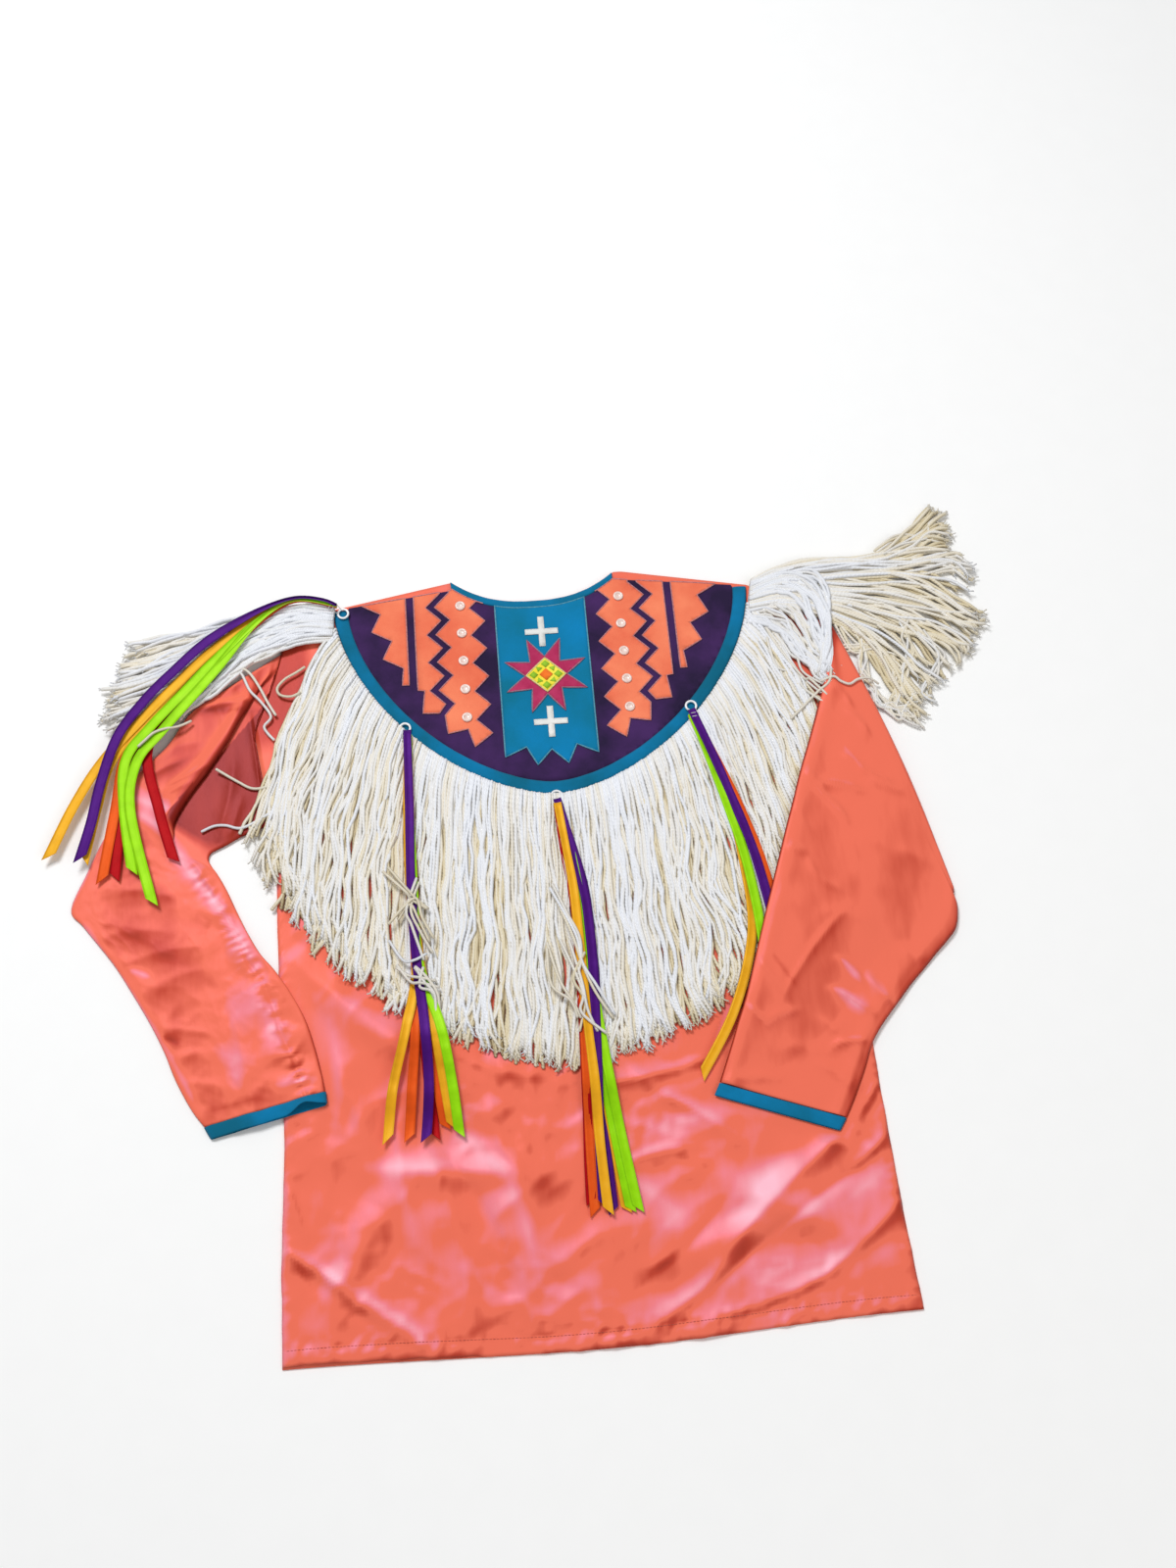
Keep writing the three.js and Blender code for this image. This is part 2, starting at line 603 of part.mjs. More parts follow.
function addButtons(base) {
  const profile = [
    [0, 0], [BUTTON.radius, 0], [BUTTON.radius - 0.6, BUTTON.height], [0, BUTTON.height],
  ].map(([r, z]) => new THREE.Vector2(r, z));
  [-1, 1].forEach((side, column) => {
    for (let i = 0; i < BUTTON.count; i += 1) {
      const button = new THREE.LatheGeometry(profile, 8).rotateX(Math.PI / 2);
      button.translate(MOTIF_X + side * BUTTON.x, BUTTON.top - i * BUTTON.pitch, base);
      const number = column * BUTTON.count + i + 1;
      add(`button_${String(number).padStart(2, '0')}`, button, COLOR.white, FINISH.plastic);
    }
  });
}

function addYoke() {
  const field = yokeField();
  const trim = toManifold(plate(field, 0, 20));
  const level = (n) => {
    const base = YOKE_LAYER.top + PATCH.gap + n * (PATCH.thickness + PATCH.gap);
    return [base, base + PATCH.thickness];
  };
  const patch = (name, outline, n, color) => {
    const trimmed = toManifold(plate(outline, ...level(n))).intersect(trim);
    add(name, fromManifold(trimmed), color, FINISH.cotton);
  };
  add('yoke_base', plate(field, YOKE_LAYER.base, YOKE_LAYER.top), COLOR.navy, FINISH.cotton);
  add('yoke_binding', plate(arcBand(-ARC_BAND, 0, 44), YOKE_LAYER.base, BAND_TOP), COLOR.teal, FINISH.cotton);
  const neckBand = [...neckRun(0.4, 20), ...neckRun(NECK_BAND, 20).reverse()];
  add('neck_binding', plate(neckBand, YOKE_LAYER.base, BAND_TOP), COLOR.teal, FINISH.cotton);
  patch('centre_patch', centrePatch(), 0, COLOR.teal);
  const columns = { inner: innerColumn(), middle: middleColumn(), outer: outerColumn() };
  Object.entries(columns).forEach(([name, outline]) => {
    patch(`patch_${name}_left`, outline, 0, COLOR.coral);
    patch(`patch_${name}_right`, mirror(outline), 0, COLOR.coral);
  });
  patch('star', starOutline(), 1, COLOR.berry);
  patch('star_diamond', diamond(21, 20), 2, COLOR.yellow);
  patch('star_centre', diamond(7, 7), 3, COLOR.orange);
  patch('cross_upper', crossOutline(-3, 317), 1, COLOR.white);
  patch('cross_lower', crossOutline(-1, 211), 1, COLOR.white);
  addButtons(level(1)[0]);
}

// ---------------------------------------------------------------- yarn fringe

// Three-sided lock through places, flat side down.
function lockGeometry(places, widths, height) {
  const rings = places.map((place, i) => {
    const before = places[Math.max(i - 1, 0)];
    const after = places[Math.min(i + 1, places.length - 1)];
    const side = new THREE.Vector3(before.y - after.y, after.x - before.x, 0).setLength(widths[i] / 2);
    return [
      place.clone().add(side),
      place.clone().sub(side),
      place.clone().addScaledVector(UP, height),
    ];
  });
  return loftGeometry(rings);
}

const LOCK = { count: 92, segments: 5, height: 3.2, clear: 0.7 };
const LOCK_WIDTH = [3.4, 4.8, 5.6, 6, 5.4, 4];

// Sideways drift that neighbours share, so that locks wave together and never cross.
const drift = (along, across) => 3.2 * Math.sin(along * 5 + across * 0.021) * along;

// Angle of a hanging lock from straight down, more towards the shoulders.
const lockLean = (x) => M.degToRad(22) * Math.sign(x) * Math.abs(x / YOKE.halfWidth) ** 1.5;

function frontLock(turn, index) {
  const root = arcPoint(turn, STRIP.width / 2);
  const lean = lockLean(root.x);
  const length = FRINGE_LENGTH - 9 * ((index * 7) % 4) / 3 + 12 * (1 - Math.abs(root.x / YOKE.halfWidth));
  const places = steps(LOCK.segments).map((t) => {
    const x = root.x + length * t * Math.sin(lean) + drift(t, root.x);
    const y = root.y - length * t * Math.cos(lean);
    return new THREE.Vector3(x, y, LOCK.clear + crestTop(x, y));
  });
  return lockGeometry(places, LOCK_WIDTH, LOCK.height);
}

const FRONT_RUN = { from: 0.07, to: 0.93 };

// Turn of each lock, so that neighbours hang evenly side by side on the steep shoulders too.
function evenTurns(count, from, to) {
  const rows = [{ turn: from, apart: 0 }];
  steps(400).slice(1).forEach((t) => {
    const turn = M.lerp(from, to, t);
    const here = arcPoint(turn, STRIP.width / 2);
    const before = arcPoint(rows.at(-1).turn, STRIP.width / 2);
    const lean = lockLean(here.x);
    const apart = Math.abs((here.x - before.x) * Math.cos(lean) + (here.y - before.y) * Math.sin(lean));
    rows.push({ turn, apart: rows.at(-1).apart + apart });
  });
  return steps(count - 1).map((t) => lerpRow(rows, 'apart', t * rows.at(-1).apart, 'turn'));
}

function addFrontFringe() {
  const outline = arcBand(0.4, STRIP.width, 48, FRONT_RUN.from - 0.004, FRONT_RUN.to + 0.004);
  const strip = plate(outline, YOKE_LAYER.base, YOKE_LAYER.base + STRIP.height);
  const locks = evenTurns(LOCK.count, FRONT_RUN.from, FRONT_RUN.to).map(frontLock);
  add('fringe_front', fuse([strip, ...locks]), COLOR.yarn, FINISH.yarn);
}

// A shoulder bunch fans from its strip, over a waist line, to ends on an arc about a centre.
const SHOULDER_FRINGE = {
  fringe_shoulder_right: {
    root: { fromX: -229, fromY: 366, toX: -231.5, toY: 322 },
    waist: { fromX: -322, fromY: 360, toX: -318, toY: 300 },
    fan: { x: -236, y: 346, fromAngle: 186, toAngle: 206, fromReach: 205, toReach: 246 },
    rise: 3.4,
  },
  fringe_shoulder_left: {
    root: { fromX: 229, fromY: 366, toX: 231.5, toY: 322 },
    waist: { fromX: 305, fromY: 380, toX: 330, toY: 325 },
    fan: { x: 318, y: 334, fromAngle: 39, toAngle: -62, fromReach: 165, toReach: 152 },
    rise: 0,
  },
};

function shoulderLock(bunch, t, layer) {
  const { root, waist, fan, rise } = bunch;
  const start = new THREE.Vector3(M.lerp(root.fromX, root.toX, t), M.lerp(root.fromY, root.toY, t), 0);
  const middle = new THREE.Vector3(M.lerp(waist.fromX, waist.toX, t), M.lerp(waist.fromY, waist.toY, t), 0);
  const angle = M.degToRad(M.lerp(fan.fromAngle, fan.toAngle, t));
  const reach = M.lerp(fan.fromReach, fan.toReach, t) - 14 * layer;
  const end = new THREE.Vector3(fan.x + reach * Math.cos(angle), fan.y + reach * Math.sin(angle), 0);
  const curve = new THREE.CatmullRomCurve3([start, middle, end], false, 'centripetal');
  const places = steps(LOCK.segments).map((s) => {
    const place = curve.getPoint(s);
    const onCloth = PANEL_TOP + LOCK.clear + rise * M.smoothstep(s, 0, 0.3);
    place.z = M.lerp(onCloth, 0.8, M.smoothstep(s, 0.6, 1)) + layer * 3.7;
    return place;
  });
  return lockGeometry(places, [2.8, 3.6, 4.2, 5, 5, 4], LOCK.height);
}

function addShoulderFringe(name) {
  const bunch = SHOULDER_FRINGE[name];
  const { root } = bunch;
  const side = Math.sign(root.fromX);
  const corner = (x, y, dx) => ({ x: x + side * dx, y });
  const outline = [
    corner(root.fromX, root.fromY + 3, -2.6),
    corner(root.toX, root.toY - 1, -2.4),
    corner(root.toX, root.toY - 1, 2.6),
    corner(root.fromX, root.fromY + 3, 2.6),
  ];
  const strip = plate(outline, YOKE_LAYER.base, YOKE_LAYER.base + 2 * STRIP.height + 0.8);
  const locks = [0, 1].flatMap((layer) => {
    const count = layer === 0 ? 12 : 11;
    return steps(count - 1).map((t) => shoulderLock(bunch, t, layer));
  });
  add(name, fuse([strip, ...locks]), COLOR.yarn, FINISH.yarn);
}

// ---------------------------------------------------------------- rings and ribbons

// Where each bundle hangs, and its ribbons from the lowest up, each with its x at the bundle's rows of y.
const BUNDLES = {
  front_right: {
    ring: { x: -153, y: 213 },
    y: [203, 120, 40, -40, -105, -160, -208],
    ribbons: [
      { color: 'red', x: [-150, -152, -153, -151, -149, -146, -143] },
      { color: 'orange', x: [-150, -153, -154, -153, -156, -162, -167] },
      { color: 'gold', x: [-150, -154, -155, -152, -165, -180, -187] },
      { color: 'lime', x: [-150, -152, -152, -147, -132, -124, -120] },
      { color: 'purple', x: [-150, -152, -154, -152, -147, -146, -151] },
    ],
  },
  front_centre: {
    ring: { x: -2, y: 126 },
    y: [116, 66, 20, -60, -140, -220, -290],
    ribbons: [
      { color: 'orange', x: [-2, 2, 7, 12, 9, 4, 1] },
      { color: 'gold', x: [-2, 3, 8, 14, 12, 15, 19] },
      { color: 'lime', x: [-2, 6, 12, 18, 22, 31, 40] },
      { color: 'purple', x: [-2, 13, 24, 18, 14, 13, 12] },
    ],
  },
  front_left: {
    ring: { x: 147, y: 217 },
    y: [206, 164, 108, 48, -15, -64],
    ribbons: [
      {
        color: 'gold',
        x: [146, 158, 172, 180, 182, 172, 149, 115],
        y: [206, 164, 108, 48, -15, -64, -118, -170],
      },
      { color: 'orange', x: [146, 160, 177, 190, 198, 202] },
      { color: 'lime', x: [146, 158, 172, 184, 190, 190] },
      { color: 'purple', x: [146, 161, 176, 187, 193, 196] },
    ],
  },
};

// The shoulder bundle crosses the bunch of fringe and the folded sleeve, and ends on forearm and floor.
const SHOULDER_BUNDLE = {
  ring: { x: -213, y: 352 },
  ribbons: [
    { color: 'red', x: [-219, -268, -318, -372, -430, -430, -433], y: [358, 368, 333, 267, 205, 140, 72] },
    { color: 'orange', x: [-219, -268, -320, -375, -433, -449, -459], y: [358, 368, 334, 270, 208, 150, 72] },
    { color: 'gold', x: [-219, -269, -322, -382, -452, -488, -512], y: [358, 369, 336, 274, 211, 150, 98] },
    { color: 'lime', x: [-219, -268, -318, -370, -428, -436, -410], y: [358, 368, 328, 264, 207, 130, 44] },
    { color: 'purple', x: [-219, -269, -330, -388, -440, -462, -480], y: [358, 371, 343, 279, 222, 160, 94] },
  ],
  pile: [
    { reach: 8, height: 10.2 },
    { reach: 60, height: 14.4 },
    { reach: 200, height: 14.4 },
    { reach: 300, height: 8 },
    { reach: 420, height: 5.4 },
  ],
};

const RIBBON_STEPS = 11;

// Flat ribbon through places; under gives the height of what it lies on.
function ribbonGeometry(places, under, layer) {
  const curve = new THREE.CatmullRomCurve3(places, false, 'catmullrom', 0.5);
  const rings = steps(RIBBON_STEPS).map((t) => {
    const place = curve.getPoint(t);
    const tangent = curve.getTangent(t);
    const side = new THREE.Vector3(-tangent.y, tangent.x, 0).multiplyScalar(RIBBON.width / 2);
    const low = under(place.x, place.y) + 0.8 + layer * RIBBON.step;
    const corner = (sign, z) => place.clone().addScaledVector(side, sign).setZ(z);
    const high = low + RIBBON.thickness;
    return [corner(1, low), corner(-1, low), corner(-1, high), corner(1, high)];
  });
  return loftGeometry(rings);
}

function addBundle(name, { ribbons, y, ring }, under) {
  const hanger = new THREE.TorusGeometry(HANGER.radius, HANGER.tube, 5, 12);
  hanger.translate(ring.x, ring.y, PANEL_TOP + FRINGE_PILE + HANGER.tube);
  add(`ring_${name}`, hanger, COLOR.white, FINISH.plastic);
  ribbons.forEach((ribbon, layer) => {
    const places = ribbon.x.map((x, k) => new THREE.Vector3(x, (ribbon.y ?? y)[k], 0));
    const geometry = ribbonGeometry(places, under, layer);
    add(`ribbon_${name}_${ribbon.color}`, geometry, COLOR[ribbon.color], FINISH.satin);
  });
}

function addBundles() {
  Object.entries(BUNDLES).forEach(([name, bundle]) => {
    const middle = bundle.ribbons[0].x[0];
    addBundle(name, bundle, (x, y) => Math.max(fringeTop(middle, y), fringeTop(x, y)));
  });
  const { ring, pile } = SHOULDER_BUNDLE;
  const under = (x, y) => lerpRow(pile, 'reach', Math.hypot(x - ring.x, y - ring.y), 'height');
  addBundle('shoulder_right', SHOULDER_BUNDLE, under);
}

addPanels();
addSleeves();
addYoke();
addFrontFringe();
Object.keys(SHOULDER_FRINGE).forEach(addShoulderFringe);
addBundles();

export default shirt;
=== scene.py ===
"""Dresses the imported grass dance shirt: satin, applique yoke, yarn fringe and ribbon bundles.

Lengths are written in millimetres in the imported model's frame (X towards the wearer's left, Y from
hem to neck, Z up from the floor) and become metres when a piece is finished.
"""
import logging
import math
import random
from collections.abc import Callable, Sequence
from dataclasses import dataclass, field
from enum import Enum

import bmesh
import bpy
from mathutils import Matrix, Vector, noise


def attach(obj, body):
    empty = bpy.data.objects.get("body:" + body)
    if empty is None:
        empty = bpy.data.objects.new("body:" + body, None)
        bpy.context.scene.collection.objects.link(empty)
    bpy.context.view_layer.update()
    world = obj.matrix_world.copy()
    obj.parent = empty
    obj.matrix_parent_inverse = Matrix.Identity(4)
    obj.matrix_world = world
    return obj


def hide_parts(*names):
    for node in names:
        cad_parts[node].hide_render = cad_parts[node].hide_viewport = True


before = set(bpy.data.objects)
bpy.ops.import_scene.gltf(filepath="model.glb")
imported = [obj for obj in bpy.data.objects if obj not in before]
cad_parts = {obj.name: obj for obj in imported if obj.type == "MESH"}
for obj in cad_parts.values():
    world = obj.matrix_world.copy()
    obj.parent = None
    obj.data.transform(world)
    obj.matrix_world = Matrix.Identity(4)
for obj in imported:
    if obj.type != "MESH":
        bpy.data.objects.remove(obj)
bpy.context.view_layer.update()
LOG = logging.getLogger("shirt")

MM = 0.001
Point = tuple[float, float]
Color = tuple[float, float, float]
Place = Callable[[float, float], Vector]
Mesh = bmesh.types.BMesh
Socket = bpy.types.NodeSocket
Material = bpy.types.Material


# ------------------------------------------------------------------ small helpers

def clamp(value: float, low: float = 0.0, high: float = 1.0) -> float:
    """Return value held between low and high."""
    return max(low, min(high, value))


def lerp(start: float, end: float, t: float) -> float:
    """Return the number a fraction t of the way from start to end."""
    return start + (end - start) * t


def smoothstep(value: float, low: float, high: float) -> float:
    """Return 0 below low, 1 above high, and a smooth rise between."""
    t = clamp((value - low) / (high - low))
    return t * t * (3 - 2 * t)


def fall(distance: float, run: float) -> float:
    """Return 1 on the near side of zero, falling smoothly to 0 over a run."""
    return 1 - smoothstep(distance, 0, run)


def bell(distance: float, width: float) -> float:
    """Return 1 at zero, dying away on both sides over about a width."""
    return math.exp(-(distance / width) ** 2)


def rounded(distance: float, run: float = 4.0) -> float:
    """Return a quarter round that rises from 0 at an edge to 1 a run inside it."""
    return math.sqrt(1 - (1 - clamp(distance / run)) ** 2)


def crowned(across: float) -> float:
    """Return a crown over a strip: 1 along its middle, 0 at both edges."""
    return 1 - abs(2 * across - 1) ** 4


def nearest(x: float, y: float, start: Point, end: Point) -> tuple[float, float]:
    """Find the place on a straight line that is nearest to another place.

    Args:
        x: place across.
        y: place along.
        start: where the line starts.
        end: where it ends.

    Returns:
        The fraction along the line and the distance from it.
    """
    dx, dy = end[0] - start[0], end[1] - start[1]
    t = clamp(((x - start[0]) * dx + (y - start[1]) * dy) / (dx * dx + dy * dy))
    return t, math.hypot(x - start[0] - t * dx, y - start[1] - t * dy)


def ripple(x: float, y: float, pitch: float, seed: float) -> float:
    """Return smooth noise from -1 to 1 with features about a pitch apart."""
    return noise.noise(Vector((x / pitch, y / pitch, seed)))


def look_up(rows: Sequence[Sequence[float]], at: float, column: int) -> float:
    """Read a column of a table by its first column.

    Args:
        rows: table rows, rising in their first column.
        at: where to read.
        column: which column to read.

    Returns:
        The value, straight between rows and level past the ends.
    """
    if at <= rows[0][0]:
        return rows[0][column]
    for low, high in zip(rows, rows[1:]):
        if at <= high[0]:
            return lerp(low[column], high[column], (at - low[0]) / (high[0] - low[0]))
    return rows[-1][column]


def through(points: Sequence[Sequence[float]], at: float) -> tuple[float, ...]:
    """Read a smooth curve through rows of numbers.

    Args:
        points: the rows that the curve passes through.
        at: place along the curve, counted in rows.

    Returns:
        One number for each column.
    """
    last = len(points) - 1
    i = min(int(at), last - 1)
    t = at - i
    rows = [points[clamp(k, 0, last)] for k in (i - 1, i, i + 1, i + 2)]
    out = []
    for a, b, c, d in zip(*rows):
        slope = (c - a) / 2
        next_slope = (d - b) / 2
        cube = 2 * b - 2 * c + slope + next_slope
        square = -3 * b + 3 * c - 2 * slope - next_slope
        out.append(((cube * t + square) * t + slope) * t + b)
    return tuple(out)


def evenly(points: Sequence[Sequence[float]], count: int) -> list[tuple[float, ...]]:
    """Space rows evenly along the smooth curve through points.

    Args:
        points: rows whose first two columns are a place.
        count: how many steps to make.

    Returns:
        One row more than there are steps.
    """
    last, steps = len(points) - 1, 240
    fine = [through(points, k * last / steps) for k in range(steps + 1)]
    run = [0.0]
    for a, b in zip(fine, fine[1:]):
        run.append(run[-1] + math.dist(a[:2], b[:2]))
    table = list(zip(run, range(steps + 1)))
    at = [look_up(table, run[-1] * k / count, 1) for k in range(count + 1)]
    return [through(points, a * last / steps) for a in at]


def stepped(start: Point, end: Point, count: int) -> list[Point]:
    """Return a number of even steps along a straight line, without its end."""
    return [(lerp(start[0], end[0], k / count), lerp(start[1], end[1], k / count))
            for k in range(count)]


def read_places(table: str) -> tuple[tuple[float, ...], ...]:
    """Read places from a table in text, with a comma after each but the last."""
    return tuple(tuple(map(float, place.split())) for place in table.split(","))


def read_lines(table: str) -> tuple[tuple[tuple[float, ...], ...], ...]:
    """Read lines of places from a table in text, with a semicolon after each but the last."""
    return tuple(read_places(line) for line in table.split(";"))


# ------------------------------------------------------------------ how the shirt lies

class Lay:
    """Outlines and heights of the laid shirt that every piece shares."""

    WALL = 1.2
    GAP = 0.4
    LAYERS = 2.8
    PANEL_TOP = 3.0
    HEM_Y = -400.0
    UNDERARM_Y = 122.0
    ARMHOLE_TOP_Y = 312.0
    SIDE = 288.0
    NECK_X, NECK_HALF, NECK_LOW, NECK_DIP = -9.0, 89.0, 356.0, 30.0
    YOKE_Y, YOKE_HALF, YOKE_DEPTH, YOKE_POWER = 357.0, 223.0, 228.0, 1.68
    REACH_X, REACH_Y = 410.0, 511.0
    PILE = 4.6
    ABOVE_FLOOR = 0.15
    CUFF_WALL = 0.25
    REST_SPAN = 20.0
    OVERARM = ((130, -179), (297, 260))
    # corners of the folded sleeve and of the other cuff where they lie on the body
    SLEEVES_ON_BODY = (
        ((297, 260), (391, -22), (242, -238), (122, -192)),
        ((-320, 20), (-240, -100), (-238, -172), (-352, -196)),
    )
    # y, left edge, right edge
    BODY_EDGE = (
        (-400, -289, 293), (-300, -288, 288), (-200, -284, 285), (0, -288, 284), (122, -288, 288),
        (170, -301, 300), (220, -309, 308), (265, -292, 304), (312, -279, 298),
    )
    # from x, y, to x, y, width, height
    PANEL_FOLDS = (
        (-232, -72, -88, -188, 14, 5), (-205, -236, -50, -250, 13, 3.5),
        (-92, -250, -58, -380, 15, 4), (-262, -372, -190, -262, 16, 4.5),
        (60, -345, 232, -290, 16, 4.5), (95, -255, 265, -345, 14, 4),
    )

    @classmethod
    def neckline(cls, x: float) -> float:
        """Return the y of the front neck edge."""
        return cls.NECK_LOW + cls.NECK_DIP * abs((x - cls.NECK_X) / cls.NECK_HALF) ** 2.5

    @classmethod
    def shoulder(cls, x: float) -> float:
        """Return the y of the shoulder edge."""
        return look_up(((89, 386), (224, 360), (262, 343), (290, 312)), abs(x), 1)

    @classmethod
    def top_line(cls, x: float) -> float:
        """Return the y of the body's upper edge."""
        return cls.neckline(x) if abs(x - cls.NECK_X) < cls.NECK_HALF else cls.shoulder(x)

    @classmethod
    def panel_top(cls, x: float, y: float) -> float:
        """Return the height of the front panel with its largest folds.

        Args:
            x: place across.
            y: place along.

        Returns:
            The height.
        """
        edge = min(262 - abs(x), y - cls.HEM_Y)
        if edge <= 0:
            return cls.PANEL_TOP
        total = 0.0
        for x0, y0, x1, y1, width, height in cls.PANEL_FOLDS:
            t, away = nearest(x, y, (x0, y0), (x1, y1))
            away /= width
            if away < 3:
                crest = math.sin(math.pi * clamp(t, 0.08, 0.92)) ** 0.5
                total += height * math.exp(-away * away) * crest
        return cls.PANEL_TOP + total * smoothstep(edge, 0, 30)

    @classmethod
    def crest_top(cls, x: float, y: float) -> float:
        """Return the height of the crests around a place, which stiffer things lie on.

        Args:
            x: place across.
            y: place along.

        Returns:
            The height.
        """
        if y > 20:
            return cls.PANEL_TOP
        around = [math.radians(a) for a in (0, 60, 120, 180, 240, 300)]
        span = cls.REST_SPAN
        heights = [cls.panel_top(x + span * math.cos(a), y + span * math.sin(a)) for a in around]
        return max(cls.panel_top(x, y), *heights)

    @classmethod
    def beyond_fringe(cls, x: float, y: float) -> float:
        """Return how far a place is past the curve on which the fringe ends.

        Args:
            x: place across.
            y: place along.

        Returns:
            The distance, below zero inside it.
        """
        across = abs(x / cls.REACH_X) ** cls.YOKE_POWER
        down = abs(min(0, y - cls.YOKE_Y) / cls.REACH_Y) ** cls.YOKE_POWER
        return ((across + down) ** (1 / cls.YOKE_POWER) - 1) * cls.REACH_Y

    @classmethod
    def fringe_top(cls, x: float, y: float) -> float:
        """Return the height on which ribbons lie."""
        return cls.crest_top(x, y) + cls.PILE * fall(cls.beyond_fringe(x, y) - 10, 44)

    @staticmethod
    def under(x: float, y: float, quad: Sequence[Point]) -> float:
        """Return 1 well inside a four-sided outline, falling to 0 just outside it.

        Args:
            x: place across.
            y: place along.
            quad: corners, clockwise from above.

        Returns:
            The share.
        """
        inside = 1e9
        for a, b in zip(quad, (*quad[1:], quad[0])):
            run = math.dist(a, b)
            inside = min(inside, ((b[1] - a[1]) * (x - a[0]) - (b[0] - a[0]) * (y - a[1])) / run)
        return smoothstep(inside, -12, 1)

    @classmethod
    def arc(cls, turn: float, grow: float) -> Point:
        """Return a point of the yoke's round edge.

        Args:
            turn: 0 at the wearer's left shoulder, 1 at the right.
            grow: how far outside the edge.

        Returns:
            The place.
        """
        power = 2 / cls.YOKE_POWER
        c, s = math.cos(math.pi * turn), math.sin(math.pi * turn)
        x = (cls.YOKE_HALF + grow) * math.copysign(abs(c) ** power, c)
        return x, cls.YOKE_Y - (cls.YOKE_DEPTH + grow) * abs(s) ** power

    @classmethod
    def on_yoke(cls, x: float, y: float) -> bool:
        """Return whether a place is under the yoke.

        Args:
            x: place across.
            y: place along.

        Returns:
            Whether it is.
        """
        across = abs(x / (cls.YOKE_HALF + 3)) ** cls.YOKE_POWER
        down = abs(min(0, y - cls.YOKE_Y) / (cls.YOKE_DEPTH + 3)) ** cls.YOKE_POWER
        return across + down < 1

    @classmethod
    def past_overarm(cls, x: float, y: float) -> float:
        """Return how far a place is inside the overarm edge of the folded left sleeve.

        Args:
            x: place across.
            y: place along.

        Returns:
            The distance, below zero outside it.
        """
        (x0, y0), (x1, y1) = cls.OVERARM
        along = Vector((x1 - x0, y1 - y0)).normalized()
        return along.y * (x - x0) - along.x * (y - y0)

    @classmethod
    def forearm_base(cls, x: float, y: float) -> float:
        """Return the height of the cloth or floor under the wearer's right sleeve."""
        on_body = fall(-x - cls.SIDE - 22, 34) * fall(y, 34)
        return (cls.panel_top(x, y) + cls.GAP) * on_body if on_body > 0 else 0.0

    @classmethod
    def folded_sleeve_top(cls, x: float, y: float) -> float:
        """Return the height of the wearer's left sleeve where it lies back over the body.

        Args:
            x: place across.
            y: place along.

        Returns:
            The height, over the body, the sleeve's lower half, the ribbons or the yarn.
        """
        body = cls.panel_top(x, y) * fall(x - cls.SIDE - 15, 60)
        seam = Vector((392 - cls.SIDE, -6 - cls.UNDERARM_Y)).normalized()
        past_seam = seam.y * (x - cls.SIDE) - seam.x * (y - cls.UNDERARM_Y)
        lower = (cls.LAYERS + cls.GAP) * fall(past_seam - 12, 110)
        ribbons = 5.8 * fall(abs(x - 186) - 22, 80) * fall(-75 - y, 110)
        pile = fall(cls.beyond_fringe(x, y) - 8, 150)
        support = max(body, lower, (cls.PANEL_TOP + cls.PILE + ribbons) * pile)
        return support + cls.GAP + cls.LAYERS


@dataclass(frozen=True)
class Crease:
    """Soft ridge, or trough where its height is below zero, between two places.

    The far side, to the left of its run, can fall away faster than the near side.
    """

    x0: float
    y0: float
    x1: float
    y1: float
    width: float
    height: float
    bend: float = 0.0
    sharp: float = 1.0

    def at(self, x: float, y: float) -> float:
        """Return the height that the crease adds at a place.

        Args:
            x: place across.
            y: place along.

        Returns:
            Height in millimetres.
        """
        dx, dy = self.x1 - self.x0, self.y1 - self.y0
        run = dx * dx + dy * dy
        t = ((x - self.x0) * dx + (y - self.y0) * dy) / run
        if t < -0.25 or t > 1.25:
            return 0.0
        side = ((y - self.y0) * dx - (x - self.x0) * dy) / math.sqrt(run)
        side -= self.bend * 4 * t * (1 - t)
        away = side / self.width * (self.sharp if side > 0 else 1)
        if abs(away) > 3:
            return 0.0
        ends = smoothstep(t, -0.25, 0.25) * (1 - smoothstep(t, 0.7, 1.25))
        return self.height * math.exp(-1.2 * abs(away) ** 1.35) * ends


def crumple(x: float, y: float, seed: float, size: float = 1.0) -> float:
    """Return the height of soft crumpled cloth: broad slopes that meet in uneven crests.

    Args:
        x: place across.
        y: place along.
        seed: picks one crumpling.
        size: scale of the slopes.

    Returns:
        Height in millimetres.
    """
    bend = 22 * ripple(x, y, 95 * size, seed + 5)
    broad = abs(ripple(x + 0.45 * y + bend, (y - 0.3 * x) * 0.8, 88 * size, seed))
    second = abs(ripple(x - 0.5 * y - bend, y + 0.2 * x, 52 * size, seed + 1))
    creased = smoothstep(ripple(x, y, 120 * size, seed + 3), -0.15, 0.35)
    third = abs(ripple(x + 0.7 * y + bend, y - 0.2 * x, 29 * size, seed + 2))
    fine = abs(ripple(x - 0.2 * y, y + 0.5 * x, 15 * size, seed + 4))
    folded = creased * (1.9 * third + 0.9 * fine) + 0.5 * third
    return size * (1.7 - 4.8 * broad - 2.6 * second * (1 - broad) - folded)


def read_creases(table: str) -> tuple[Crease, ...]:
    """Read creases from a table in text whose columns are the fields of a crease."""
    return tuple(Crease(*row) for row in read_places(table))


def relief(folds: Sequence[Crease], x: float, y: float) -> float:
    """Return the height that a set of creases adds at a place."""
    return sum(crease.at(x, y) for crease in folds)


# ------------------------------------------------------------------ finishes

